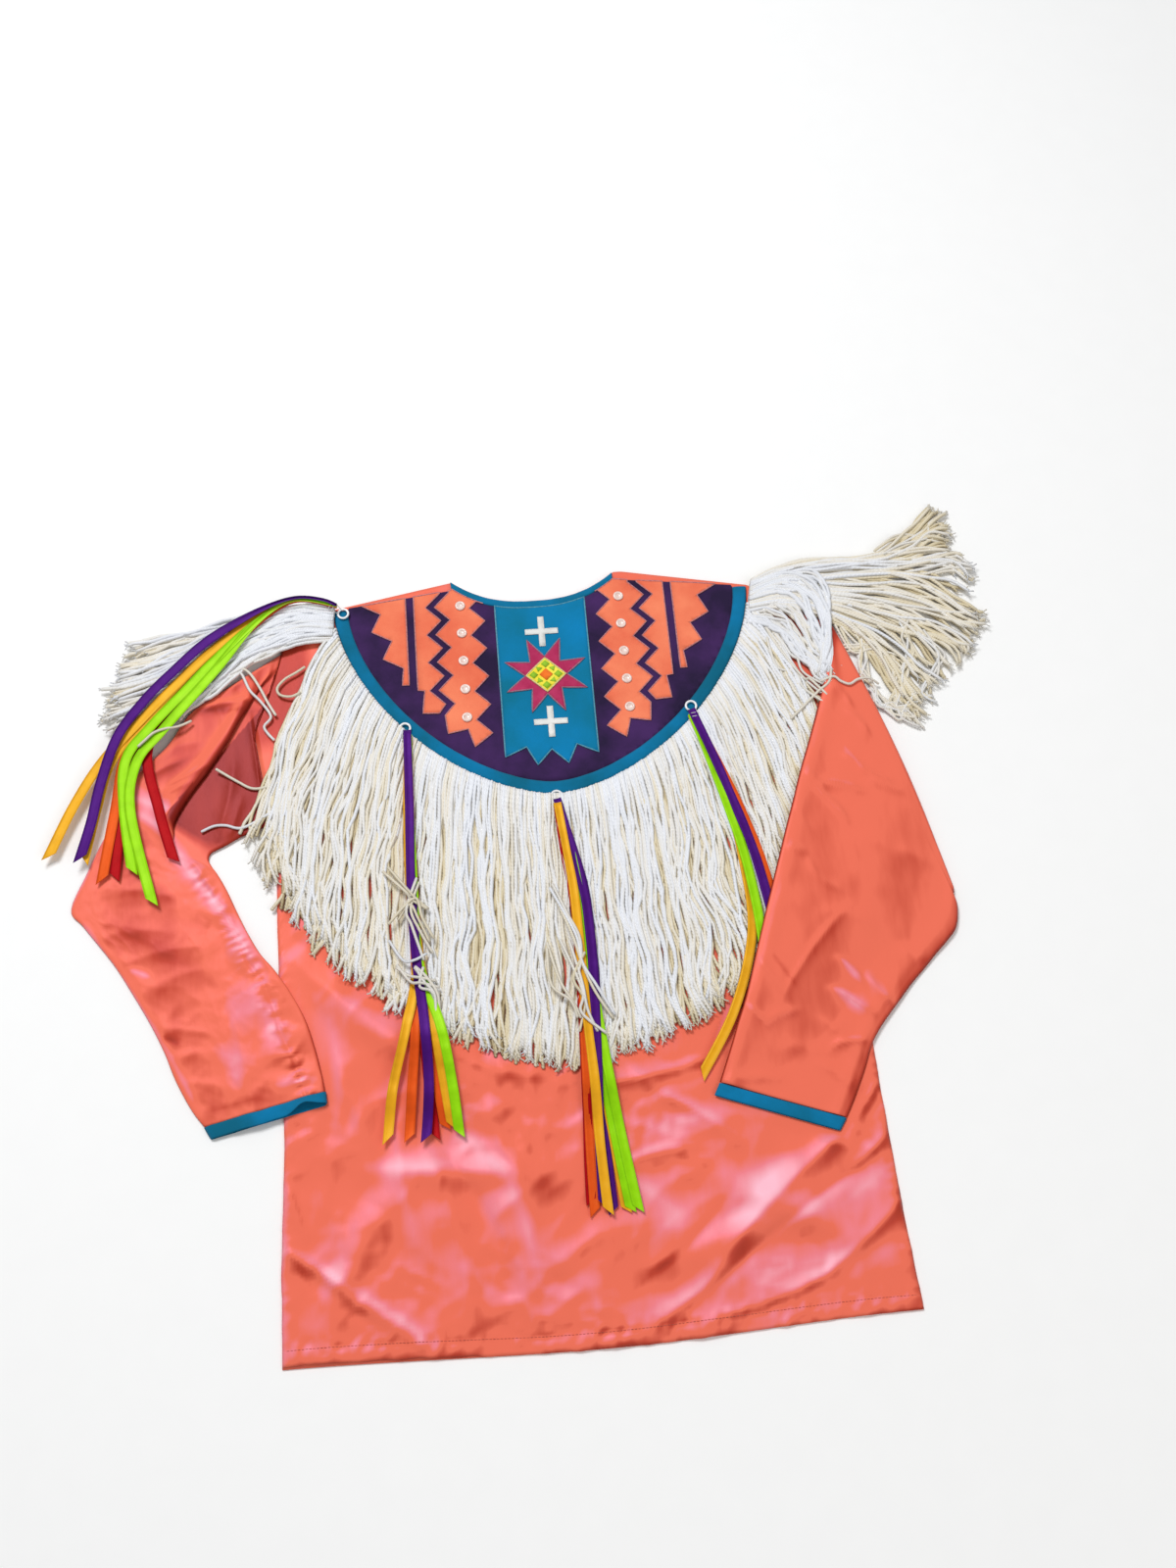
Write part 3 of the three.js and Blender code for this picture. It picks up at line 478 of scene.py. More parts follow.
@dataclass
class Board:
    """Node board of one material."""

    name: str
    tree: bpy.types.NodeTree = field(init=False)
    material: Material = field(init=False)
    shader: bpy.types.Node = field(init=False)

    def __post_init__(self) -> None:
        """Make the material with its shader wired to the output."""
        self.material = bpy.data.materials.new(self.name)
        self.material.use_nodes = True
        self.tree = self.material.node_tree
        self.shader = self.tree.nodes["Principled BSDF"]

    def node(self, kind: str, **values: object) -> bpy.types.Node:
        """Add a node.

        Args:
            kind: Blender's name for the node, without its ShaderNode start.
            values: settings, and sockets written with underscores for spaces.

        Returns:
            The node.
        """
        node = self.tree.nodes.new("ShaderNode" + kind)
        for name, value in values.items():
            socket = node.inputs.get(name.replace("_", " "))
            if socket is None:
                setattr(node, name, value)
            else:
                socket.default_value = value
        return node

    def wire(self, source: Socket, target: Socket) -> None:
        """Join an output to an input."""
        self.tree.links.new(source, target)

    def sockets(self, **values: object) -> None:
        """Set plain values on the shader's own sockets."""
        for name, value in values.items():
            self.shader.inputs[name.replace("_", " ")].default_value = value

    def place(self, scale: Sequence[float] = (1, 1, 1), turn: float = 0.0,
              by_uv: bool = False) -> Socket:
        """Return texture coordinates on the piece.

        Args:
            scale: size of the pattern along each axis.
            turn: turn about the third axis in degrees.
            by_uv: read the piece's own layout in place of its place in space.

        Returns:
            A vector socket.
        """
        source = self.node("TexCoord")
        mapping = self.node("Mapping")
        mapping.inputs["Scale"].default_value = scale
        mapping.inputs["Rotation"].default_value = (0, 0, math.radians(turn))
        self.wire(source.outputs["UV" if by_uv else "Object"], mapping.inputs["Vector"])
        return mapping.outputs["Vector"]

    def threads(self, pitch: float, turn: float = 0.0) -> Socket:
        """Return fine parallel threads.

        Args:
            pitch: distance between threads in millimetres.
            turn: direction across the threads in degrees from X.

        Returns:
            A height socket.
        """
        scale = 2 * math.pi / (20 * pitch * MM)
        wave = self.node("TexWave", Scale=scale, Distortion=1.2, Detail=1.0, Detail_Scale=0.4)
        self.wire(self.place(turn=turn), wave.inputs["Vector"])
        return wave.outputs["Fac"]

    def cloud(self, scale: float, detail: float = 3.0, stretch: Sequence[float] = (1, 1, 1),
              turn: float = 0.0) -> Socket:
        """Return soft noise on the piece.

        Args:
            scale: how many features fit in a metre.
            detail: how much finer noise is added.
            stretch: scale along each axis.
            turn: turn about the third axis in degrees.

        Returns:
            A value socket from 0 to 1.
        """
        cloud = self.node("TexNoise", Scale=scale, Detail=detail, Roughness=0.55)
        self.wire(self.place(stretch, turn), cloud.inputs["Vector"])
        return cloud.outputs["Fac"]

    def sum(self, first: Socket, second: Socket,
            share: float) -> Socket:
        """Add two values.

        Args:
            first: taken whole.
            second: taken in part.
            share: how much of the second is taken.

        Returns:
            A value socket.
        """
        node = self.node("Math", operation="MULTIPLY_ADD")
        node.inputs[1].default_value = share
        self.wire(second, node.inputs[0])
        self.wire(first, node.inputs[2])
        return node.outputs[0]

    def ramp(self, value: Socket, *stops: tuple[float, Color]) -> Socket:
        """Return colours picked by a value.

        Args:
            value: the value that picks.
            stops: a place from 0 to 1 and a colour for each stop.

        Returns:
            A colour socket.
        """
        ramp = self.node("ValToRGB")
        elements = ramp.color_ramp.elements
        elements[0].position, elements[1].position = stops[0][0], stops[-1][0]
        elements[0].color, elements[1].color = (*stops[0][1], 1), (*stops[-1][1], 1)
        for place, color in stops[1:-1]:
            elements.new(place).color = (*color, 1)
        self.wire(value, ramp.inputs["Fac"])
        return ramp.outputs["Color"]

    def paint(self, value: Socket, *stops: tuple[float, str]) -> None:
        """Colour the surface with hex codes picked by a value."""
        color = self.ramp(value, *((place, srgb(code)) for place, code in stops))
        self.wire(color, self.shader.inputs["Base Color"])

    def bump(self, *layers: tuple[Socket, float, float]) -> None:
        """Stack heights into the shader's normal.

        Args:
            layers: a height socket, its strength and its depth in millimetres, for each layer.
        """
        normal = None
        for height, strength, depth in layers:
            node = self.node("Bump", Strength=strength, Distance=depth * MM)
            self.wire(height, node.inputs["Height"])
            if normal is not None:
                self.wire(normal, node.inputs["Normal"])
            normal = node.outputs["Normal"]
        self.wire(normal, self.shader.inputs["Normal"])

    def tone_with_painted_light(self) -> Socket:
        """Return the piece's stored tone: from 0 for painted shade in a trough to 1 for painted
        light on a slope facing the light, with random tone in yarn.
        """
        return self.node("Attribute", attribute_name="tone").outputs["Fac"]


def srgb(code: str) -> Color:
    """Return the linear colour of a hex code."""
    parts = [int(code[i:i + 2], 16) / 255 for i in (0, 2, 4)]
    return tuple(c / 12.92 if c <= 0.04045 else ((c + 0.055) / 1.055) ** 2.4 for c in parts)


@dataclass(frozen=True)
class Satin:
    """Shot polyester satin whose colour carries painted light: painted shade in the troughs, a
    painted sheen and highlight where slopes face the light.
    """

    name: str
    # colours picked by tone: painted shade (trough, deep_shade), the satin's own ground, a painted
    # sheen (slope) and a painted highlight
    trough: str
    deep_shade: str
    ground: str
    slope: str
    glow: str
    roughness: float = 0.30
    gloss: float = 0.26
    dim: float = 0.72
    # scale, detail, stretch, turn, share
    clouds: tuple[tuple[float, ...], ...] = (
        (7, 3, 0.40, 24, 0.20), (20, 4, 0.20, -22, 0.26), (90, 3, 0.25, 30, 0.07),
    )

    def material(self) -> Material:
        """Make the satin's material.

        Returns:
            The material.
        """
        board = Board(self.name)
        # the stored painted light, moved at random by soft streaks of tone
        tone = board.tone_with_painted_light()
        for scale, detail, stretch, turn, share in self.clouds:
            tone = board.sum(tone, board.cloud(scale, detail, (1, stretch, 1), turn), share)
        dimmed = board.node("Math", operation="MULTIPLY")
        dimmed.inputs[1].default_value = self.dim
        board.wire(tone, dimmed.inputs[0])
        board.paint(dimmed.outputs[0], (0.12, self.trough), (0.33, self.deep_shade), (0.43, self.ground),
                    (0.50, self.ground), (0.61, self.slope), (0.84, self.glow))
        board.sockets(Roughness=self.roughness, Specular_IOR_Level=self.gloss,
                      Specular_Tint=(*srgb(self.slope), 1))
        drape, weave = board.cloud(60, 4, (1, 0.5, 1), 30), board.threads(0.45, 4)
        board.bump((drape, 0.35, 1.0), (weave, 0.08, 0.1))
        return board.material


@dataclass(frozen=True)
class Cotton:
    """Hand-dyed cotton cloth with an even weave."""

    name: str
    color: str
    second: str
    patch: float = 14.0
    sheen: float = 0.04

    def material(self) -> Material:
        """Make the cotton's material.

        Returns:
            The material.
        """
        board = Board(self.name)
        dye = board.cloud(self.patch, 4)
        fleck = board.cloud(900, 2)
        board.paint(board.sum(dye, fleck, 0.10), (0.42, self.color), (0.72, self.second))
        board.sockets(Roughness=0.86, Sheen_Weight=self.sheen, Sheen_Roughness=0.6,
                      Specular_IOR_Level=0.15)
        board.bump((board.cloud(55, 3), 0.40, 0.9), (board.threads(0.8), 0.30, 0.15),
                   (board.threads(0.8, 90), 0.30, 0.15))
        return board.material


@dataclass(frozen=True)
class Yarn:
    """Two-ply acrylic yarn, deeper in shade low in the pile."""

    name: str
    # colours picked by tone: painted shade low in the pile, the yarn's own colour, painted light
    # higher up and a cool painted light at the top
    shade: str = "9C865C"
    body: str = "E2D5B4"
    light: str = "ECE5D6"
    cool_painted_light: str = "ECEEF3"
    plies: float = 50.0

    def material(self) -> Material:
        """Make the yarn's material.

        Returns:
            The material.
        """
        board = Board(self.name)
        fuzz = board.cloud(1400, 2)
        # the stored tone: painted light by height in the pile, with random tone added
        tone = board.sum(board.tone_with_painted_light(), board.cloud(30, 2), 0.12)
        board.paint(board.sum(tone, fuzz, 0.06), (0.15, self.shade), (0.42, self.body),
                    (0.64, self.light), (0.9, self.cool_painted_light))
        board.sockets(Roughness=0.9, Sheen_Weight=0.15, Sheen_Roughness=0.5, Specular_IOR_Level=0.2)
        ply = board.node("TexWave", Scale=1.0, Distortion=0.6, bands_direction="DIAGONAL")
        board.wire(board.place((self.plies, 1.2566, 0), by_uv=True), ply.inputs["Vector"])
        board.bump((ply.outputs["Fac"], 0.55, 0.5), (fuzz, 0.4, 0.25))
        return board.material


@dataclass(frozen=True)
class RibbonSatin:
    """Narrow satin ribbon with a firmer edge on each side."""

    name: str
    # colours picked by tone: painted shade, the ribbon's own colour and a painted highlight
    color: str
    shade: str
    glow: str

    def material(self) -> Material:
        """Make the ribbon's material.

        Returns:
            The material.
        """
        board = Board(self.name)
        # the stored painted light from the ribbon's slopes, with random tone added
        tone = board.sum(board.tone_with_painted_light(), board.cloud(70, 2), 0.25)
        board.paint(tone, (0.2, self.shade), (0.55, self.color), (1.0, self.glow))
        board.sockets(Roughness=0.34, Sheen_Weight=0.03, Specular_IOR_Level=0.5,
                      Specular_Tint=(*srgb(self.glow), 1))
        ribs = board.node("TexWave", Scale=1.0, bands_direction="Y")
        board.wire(board.place((0, 240, 0), by_uv=True), ribs.inputs["Vector"])
        edge = board.node("TexWave", Scale=1.0, bands_direction="X")
        board.wire(board.place((2.5, 0, 0), by_uv=True), edge.inputs["Vector"])
        board.bump((ribs.outputs["Fac"], 0.15, 0.15), (edge.outputs["Fac"], 0.12, 0.2))
        return board.material


@dataclass(frozen=True)
class Shell:
    """Glossy pale moulding, such as pearl buttons and sewing rings."""

    name: str
    color: str
    second: str
    roughness: float = 0.28
    scale: float = 260.0

    def material(self) -> Material:
        """Make the moulding's material.

        Returns:
            The material.
        """
        board = Board(self.name)
        swirl = board.cloud(self.scale, 3, (1, 2.2, 1))
        board.paint(swirl, (0.35, self.color), (0.7, self.second))
        board.sockets(Roughness=self.roughness, Coat_Weight=0.35, Coat_Roughness=0.15)
        board.bump((swirl, 0.12, 0.3))
        return board.material


@dataclass(frozen=True)
class Thread:
    """Embroidery or sewing thread, twisted along its own length."""

    name: str
    color: str
    shade: str

    def material(self) -> Material:
        """Make the thread's material.

        Returns:
            The material.
        """
        board = Board(self.name)
        fuzz = board.cloud(500, 2)
        board.paint(fuzz, (0.3, self.shade), (0.65, self.color))
        board.sockets(Roughness=0.55, Sheen_Weight=0.3, Specular_IOR_Level=0.4)
        board.bump((board.threads(0.7, 45), 0.5, 0.3), (board.threads(0.7, -45), 0.35, 0.3))
        return board.material


@dataclass(frozen=True)
class Paper:
    """Seamless studio floor."""

    name: str
    color: str

    def material(self) -> Material:
        """Make the floor's material.

        Returns:
            The material.
        """
        board = Board(self.name)
        grain = board.cloud(30, 2)
        level = srgb(self.color)
        board.wire(board.ramp(grain, (0.3, level), (0.7, tuple(min(1, c * 1.01) for c in level))),
                   board.shader.inputs["Base Color"])
        board.sockets(Roughness=0.9, Specular_IOR_Level=0.1)
        return board.material


class Finish(Enum):
    """Every finish on the shirt, with the material slot that it stands for."""

    SATIN = ("coral_satin", Satin("shot_satin", "620503", "C34835", "F1745B", "F3858F", "FFC2D2"))
    NAVY = ("navy_cloth", Cotton("navy_cotton", "251739", "45265E", 16))
    TEAL = ("teal_cloth", Cotton("teal_cotton", "006F8E", "0082BE", 9))
    BINDING = ("teal_binding", Cotton("teal_bias_binding", "00627F", "0079AC", 14))
    CORAL = ("coral_cloth", Cotton("coral_cotton", "E86D4E", "F98A64", 16))
    BERRY = ("berry_cloth", Cotton("berry_cotton", "A51F4E", "BE3A66", 40))
    YELLOW = ("yellow_cloth", Cotton("yellow_cotton", "EFD92C", "F8EE5A", 60))
    ORANGE = ("orange_cloth", Cotton("orange_cotton", "F06A1E", "F8832F", 60))
    WHITE = ("white_cloth", Cotton("white_felt", "DADCD8", "F0F0EC", 60))
    YARN = ("cream_yarn", Yarn("two_ply_yarn"))
    PEARL = ("white_plastic", Shell("pearl_buttons", "E2BEB2", "F6E8DF"))
    RING = ("white_plastic", Shell("sewing_rings", "E9E9EA", "FAFAFA", 0.35, 90))
    RED = ("red_ribbon", RibbonSatin("red_ribbon_satin", "A80E18", "54050C", "D0322E"))
    TANGERINE = ("orange_ribbon", RibbonSatin("orange_ribbon_satin", "E2551C", "98300A", "FB8040"))
    GOLD = ("gold_ribbon", RibbonSatin("gold_ribbon_satin", "E9A61F", "A06A0C", "FBD25E"))
    LIME = ("lime_ribbon", RibbonSatin("lime_ribbon_satin", "92D810", "528800", "C8F552"))
    PURPLE = ("purple_ribbon", RibbonSatin("purple_ribbon_satin", "46156E", "220838", "6F37A0"))
    CORAL_STITCH = ("coral_cloth", Thread("coral_stitching", "D98A86", "A8626E"))
    TEAL_STITCH = ("teal_cloth", Thread("teal_stitching", "5FA9BE", "2F87A4"))
    STAR_STITCH = ("berry_cloth", Thread("star_stitching", "B07A8C", "85637C"))
    CREAM_STITCH = ("yellow_cloth", Thread("cream_stitching", "F4E7A0", "CDBE70"))
    LIME_CLOTH = ("yellow_cloth", Cotton("lime_cotton", "8CBE2E", "A5D23A", 60))
    SEAM_STITCH = ("coral_satin", Thread("seam_stitching", "D9604A", "A83A2C"))
    WHITE_STITCH = ("white_cloth", Thread("white_stitching", "F4F4F0", "C8C8C4"))
    FLOOR = ("", Paper("studio_floor", "FAFAF9"))

    def slot(self) -> str:
        """Return the record's slot for this finish."""
        return self.value[0]

    def material(self) -> Material:
        """Return this finish's material, made once.

        Returns:
            The material.
        """
        if self not in MADE:
            MADE[self] = self.value[1].material()
        return MADE[self]


MADE: dict[Finish, Material] = {}


# ------------------------------------------------------------------ making pieces

# Painted light: the way across towards the light, the tone of a flat face, how far slopes swing it,
# the painted shade of faces turned down, and how strongly painted shade strokes show.
PAINTED_LIGHT_WAY = (-0.55, 0.83)
PAINTED_LIGHT_FLAT, PAINTED_LIGHT_SWING, PAINTED_UNDERSIDE_SHADE = 0.42, 0.36, 0.22
FACES_UP = 0.2
PAINTED_SHADE_PRESS = 0.6
CLEAR_OF_FLOOR = 0.05


def store_painted_light(mesh: Mesh, gain: float = 1.0, painted_strokes: Sequence[Crease] = (),
             shade: Callable[[float, float], float] | None = None, painted_highlight_press: float = 0.8) -> None:
    """Store painted light as the cloth's tone, from 0 in painted shade to 1 where a face leans
    towards the light.

    Args:
        mesh: cloth in millimetres.
        gain: how strongly slopes towards and away from the light show.
        painted_strokes: strokes of painted highlight, or of painted shade where their height is
            below zero, with their tone as height.
        shade: how much painted shade darkens each place, or none.
        painted_highlight_press: how strongly the painted highlight strokes show.
    """
    layer = mesh.verts.layers.float.new("tone")
    mesh.normal_update()
    for vert in mesh.verts:
        x, y, _ = vert.co
        tone = PAINTED_UNDERSIDE_SHADE
        if vert.normal.z > FACES_UP:
            # painted light and painted shade by how the face leans towards the light, plus the
            # painted strokes
            lean = PAINTED_LIGHT_WAY[0] * vert.normal.x + PAINTED_LIGHT_WAY[1] * vert.normal.y
            stroke = relief(painted_strokes, x, y)
            tone = PAINTED_LIGHT_FLAT + PAINTED_LIGHT_SWING * math.tanh(gain * lean)
            tone += stroke * (painted_highlight_press if stroke > 0 else PAINTED_SHADE_PRESS)
        vert[layer] = clamp(tone - (shade(x, y) if shade else 0.0))


def finish_piece(mesh: Mesh, name: str, finish: Finish, nodes: Sequence[str] = (),
                 wall: float = 0.0, smooth: bool = True) -> bpy.types.Object:
    """Turn a mesh in millimetres into a finished piece of the shirt.

    Args:
        mesh: the shape, which is freed.
        name: the piece's name.
        finish: its finish.
        nodes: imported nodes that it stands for.
        wall: thickness of its cloth, laid under the faces, or none.
        smooth: whether its faces shade smoothly.

    Returns:
        The object.
    """
    mesh.normal_update()
    lowest = wall + CLEAR_OF_FLOOR
    for vert in mesh.verts:
        if wall and vert.normal.z > 0 and vert.co.z < lowest:
            vert.co.z = lowest
    bmesh.ops.scale(mesh, vec=(MM, MM, MM), verts=mesh.verts)
    for face in mesh.faces:
        face.smooth = smooth
    data = bpy.data.meshes.new(name)
    mesh.to_mesh(data)
    mesh.free()
    data.materials.append(finish.material())
    piece = bpy.data.objects.new(name, data)
    bpy.context.scene.collection.objects.link(piece)
    if wall:
        solid = piece.modifiers.new("wall", "SOLIDIFY")
        solid.thickness = wall * MM
        solid.offset = -1
    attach(piece, "root")
    if nodes:
        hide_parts(*nodes)
    LOG.info("%s: %d faces", name, len(data.polygons))
    return piece


def cloth_grid(columns: int, rows: int, place: Place) -> Mesh:
    """Lay a grid of cloth.

    Args:
        columns: faces across.
        rows: faces along.
        place: gives a place in millimetres for fractions across and along.

    Returns:
        The cloth, facing up where its grid is not turned over.
    """
    mesh = bmesh.new()
    mesh.loops.layers.uv.new("UVMap")
    bmesh.ops.create_grid(mesh, x_segments=columns, y_segments=rows, size=0.5, calc_uvs=True)
    for vert in mesh.verts:
        vert.co = place(vert.co.x + 0.5, vert.co.y + 0.5)
    return mesh


def cloth_tube(around: int, rows: int, place: Place) -> Mesh:
    """Roll a grid of cloth into an open tube that faces outwards.

    Args:
        around: faces around.
        rows: faces along.
        place: gives a place for fractions around and along, the same at 0 and 1 around.

    Returns:
        The tube.
    """
    mesh = cloth_grid(around, rows, place)
    bmesh.ops.remove_doubles(mesh, verts=mesh.verts, dist=0.001)
    if mesh.calc_volume(signed=True) < 0:
        bmesh.ops.reverse_faces(mesh, faces=mesh.faces)
    return mesh


def face_up(mesh: Mesh) -> None:
    """Turn a flat piece over if most of it faces down.

    Args:
        mesh: the piece.
    """
    mesh.normal_update()
    if sum(face.normal.z * face.calc_area() for face in mesh.faces) < 0:
        bmesh.ops.reverse_faces(mesh, faces=mesh.faces)


def spun(mesh: Mesh, profile: list[bmesh.types.BMVert | bmesh.types.BMEdge], steps: int) -> None:
    """Spin a profile once about Z into a closed round shape."""
    bmesh.ops.spin(mesh, geom=profile, cent=(0, 0, 0), axis=(0, 0, 1), dvec=(0, 0, 0),
                   angle=2 * math.pi, steps=steps, use_merge=True, use_duplicate=False)


def cut_patch(outline: Sequence[Point], pitch: float) -> Mesh:
    """Cut a flat patch of cloth and score it into small faces, so that it can pucker.

    Args:
        outline: its corners in order.
        pitch: distance between scores.

    Returns:
        The patch at height zero, facing up.
    """
    mesh = bmesh.new()
    mesh.faces.new([mesh.verts.new((x, y, 0)) for x, y in outline])
    for axis in (0, 1):
        low = min(point[axis] for point in outline)
        high = max(point[axis] for point in outline)
        normal = Vector((1, 0, 0)) if axis == 0 else Vector((0, 1, 0))
        for k in range(1, int((high - low) / pitch) + 1):
            everything = mesh.verts[:] + mesh.edges[:] + mesh.faces[:]
            bmesh.ops.bisect_plane(mesh, geom=everything, dist=1e-4,
                                   plane_co=normal * (low + k * pitch), plane_no=normal)
    face_up(mesh)
    return mesh


@dataclass
class Run:
    """One strand: its path in millimetres, its width at each place and its tone."""

    path: list[Vector]
    widths: list[float]
    tone: float = 0.5
    closed: bool = False


def wound(runs: Sequence[Run], pile: tuple[float, float] | None = None) -> Mesh:
    """Sweep a round strand along each run.

    Args:
        runs: the strands.
        pile: heights over which strands are painted lighter, painted shade low in the pile and
            painted light at its top, or none.

    Returns:
        One mesh with four sides a strand and its tones stored.
    """
    curve = bpy.data.curves.new("run", "CURVE")
    curve.dimensions = "3D"
    curve.bevel_depth = 1.0
    curve.bevel_resolution = 0
    tones: list[float] = []
    for run in runs:
        spline = curve.splines.new("POLY")
        spline.points.add(len(run.path) - 1)
        for point, place, width in zip(spline.points, run.path, run.widths):
            point.co = (*place, 1)
            point.radius = width / 2
        spline.use_cyclic_u = run.closed
        tones += [run.tone] * (4 * len(run.path))
    holder = bpy.data.objects.new("run", curve)
    data = bpy.data.meshes.new_from_object(holder)
    bpy.data.objects.remove(holder)
    mesh = bmesh.new()
    mesh.from_mesh(data)
    bpy.data.meshes.remove(data)
    layer = mesh.verts.layers.float.new("tone")
    for vert, tone in zip(mesh.verts, tones):
        # painted light: strands lighter higher in the pile, in painted shade low in it
        high = 0.0 if pile is None else clamp((vert.co.z - pile[0]) / (pile[1] - pile[0])) - 0.5
        vert[layer] = clamp(tone + 0.5 * high)
    bmesh.ops.remove_doubles(mesh, verts=mesh.verts, dist=0.0005)
    if mesh.calc_volume(signed=True) < 0:
        bmesh.ops.reverse_faces(mesh, faces=mesh.faces)
    return mesh


def strand(path: list[Vector], width: float, tone: float = 0.5) -> Run:
    """Draw both ends of a path to a point just past its last places.

    Args:
        path: the strand's places.
        width: its width.
        tone: its tone.

    Returns:
        The run.
    """
    past = 0.3
    first = path[0] + (path[0] - path[1]).normalized() * width * past
    last = path[-1] + (path[-1] - path[-2]).normalized() * width * past
    return Run([first, *path, last], [0.0, *[width] * len(path), 0.0], tone)


def stitches(path: Sequence[Vector], pitch: float, length: float, width: float) -> list[Run]:
    """Sew a row of stitches along a path.

    Args:
        path: close places along the seam.
        pitch: from one stitch to the next.
        length: of one stitch.
        width: of the thread.

    Returns:
        A run for each stitch.
    """
    table = [(0.0, *path[0])]
    for a, b in zip(path, path[1:]):
        table.append((table[-1][0] + (b - a).length, *b))
    runs = []
    at = pitch / 2
    while at + length < table[-1][0]:
        sewn = [Vector([look_up(table, at + share * length, column) for column in (1, 2, 3)])
                for share in (0, 0.5, 1)]
        sewn[1].z += width * 0.35
        runs.append(strand(sewn, width))
        at += pitch
    return runs


def polygon_area(outline: Sequence[Point]) -> float:
    """Return the area inside an outline in square metres."""
    total = sum(a[0] * b[1] - b[0] * a[1] for a, b in zip(outline, [*outline[1:], outline[0]]))
    return abs(total) / 2 * MM * MM


def declare_patch(outline: Sequence[Point], rests_on: str) -> None:
    """Work out a flat patch's spans and area, which nothing uses.

    Args:
        outline: its corners in millimetres.
        rests_on: the piece below it; not used.
    """
    spans = [max(p[i] for p in outline) - min(p[i] for p in outline) for i in (0, 1)]
    area = polygon_area(outline)


# ------------------------------------------------------------------ body

@dataclass
class Body:
    """Front and back panels, open at the hem, with a turned and stitched hem."""

    columns: int = 186
    rows: int = 232
    hem_depth: float = 13.0
    hem_dip: float = 9.0
    lowest: float = 1.9
    cloth: float = 1.0
    creases: tuple[Crease, ...] = read_creases("""
        -268 -28 -172 -104 16 2.4 -6 0.8, -172 -104 -20 -166 15 2.6 -8 0.8,
        -262 -12 -120 -100 10 -1.6 -6, -110 -108 10 -152 12 -1.8 -6, 20 -170 126 -152 9 2.4 -4 1.4,
        52 -163 88 -196 8 2.6 0 1.6, 82 -190 140 -236 9 3 4 1.7, 38 -246 96 -238 8 2.2 3 1.6,
        30 -200 78 -178 10 -1.6, -150 -222 -117 -374 17 3.2 8 1.2,
        -130 -230 -82 -312 11 -2.4 0 1.5, -178 -194 -156 -318 14 2.2 -6, -84 -178 -60 -342 20 2 8,
        256 -232 104 -356 16 3.6 -10 1.4, 128 -340 30 -400 13 3 4 1.4, 254 -268 84 -378 9 -2 -4,
        290 -300 196 -368 12 3 4 1.5, 204 -364 78 -396 9 2.4 4 1.5, 168 -224 70 -330 17 2.2 8,
        150 -250 60 -345 11 -1.8 6, -285 -300 -222 -350 9 3.4 3 1.8,
        -226 -346 -172 -386 10 2.6 2 1.5, -284 -240 -268 -284 7 2 0 1.6,
        -226 -324 -156 -398 13 2 -4, -276 -318 -210 -372 8 -1.6 3, 288 -184 222 -248 9 3.2 4 1.6,
        288 -234 248 -268 8 2.6 2 1.6, -26 -240 -90 -286 15 1.6, -40 -330 60 -300 22 1.8 6,
        -250 -120 -206 -220 18 1.9 8, -210 -150 -180 -236 13 -1.4 6, -10 -350 10 -398 9 1.6,
        236 330 262 214 8 1.6 2 1.4, 250 318 284 236 6 -1.1
    """)

    # Strokes of painted highlight, and of painted shade where the height is below zero, with the
    # fields of a crease.
    painted_strokes: tuple[Crease, ...] = read_creases("""
        -235 -63 -185 -107 16 0.24, -244 -76 -229 -134 14 0.18, -134 -192 -83 -242 13 0.26,
        -83 -242 -52 -372 16 0.34 6, -202 -232 -136 -238 11 0.28, -178 -251 -145 -333 16 0.18,
        54 -216 123 -209 14 0.24, 25 -251 79 -296 15 0.26, 79 -296 43 -325 11 0.20,
        185 -256 128 -308 19 0.28, 147 -318 233 -301 14 0.24, 233 -301 290 -265 14 0.28,
        46 -380 130 -356 12 0.20, 130 -356 273 -344 14 0.22, -254 -316 -183 -368 8 0.28,
        -183 -368 -156 -393 8 0.28, -120 -319 -98 -360 12 0.20, -30 -330 40 -390 22 0.14,
        -1 -216 -15 -328 25 -0.12, -234 -333 -215 -377 17 -0.10, 41 -348 135 -317 10 -0.18,
        187 -240 252 -232 14 -0.12, -259 -203 -209 -296 19 -0.10, -80 -209 -27 -279 17 -0.12,
        -260 -39 -151 -105 14 -0.18, -151 -105 -93 -145 13 -0.20, -93 -145 60 -170 13 -0.16 -6,
        68 -166 152 -147 12 -0.22, -136 -238 -142 -270 7 -0.22, -87 -306 -76 -323 9 -0.24,
        18 -370 76 -328 8 -0.18, 169 -251 230 -235 9 -0.20, 85 -244 117 -259 6 -0.24,
        -278 -306 -251 -355 6 -0.18, -37 -400 126 -387 6 -0.12, 250 -228 284 -170 9 -0.16
    """)

    def edge(self, u: float, v: float) -> Point:
        """Return the flat place of a fraction across and up the body.

        Args:
            u: 0 at the wearer's right side, 1 at the left.
            v: 0 at the hem, 1 at the top of the armhole.

        Returns:
            The place.
        """
        edge_y = lerp(Lay.HEM_Y, Lay.ARMHOLE_TOP_Y, v)
        x = lerp(look_up(Lay.BODY_EDGE, edge_y, 1), look_up(Lay.BODY_EDGE, edge_y, 2), u)
        crown = lerp(-279, 298, u)
        top = Lay.ARMHOLE_TOP_Y if u in (0, 1) else Lay.top_line(crown)
        return x, lerp(self.hem_line(u), top, v)

    def hem_line(self, u: float) -> float:
        """Return the y of the hem, which dips in the middle."""
        return Lay.HEM_Y - self.hem_dip * math.sin(math.pi * u) ** 2

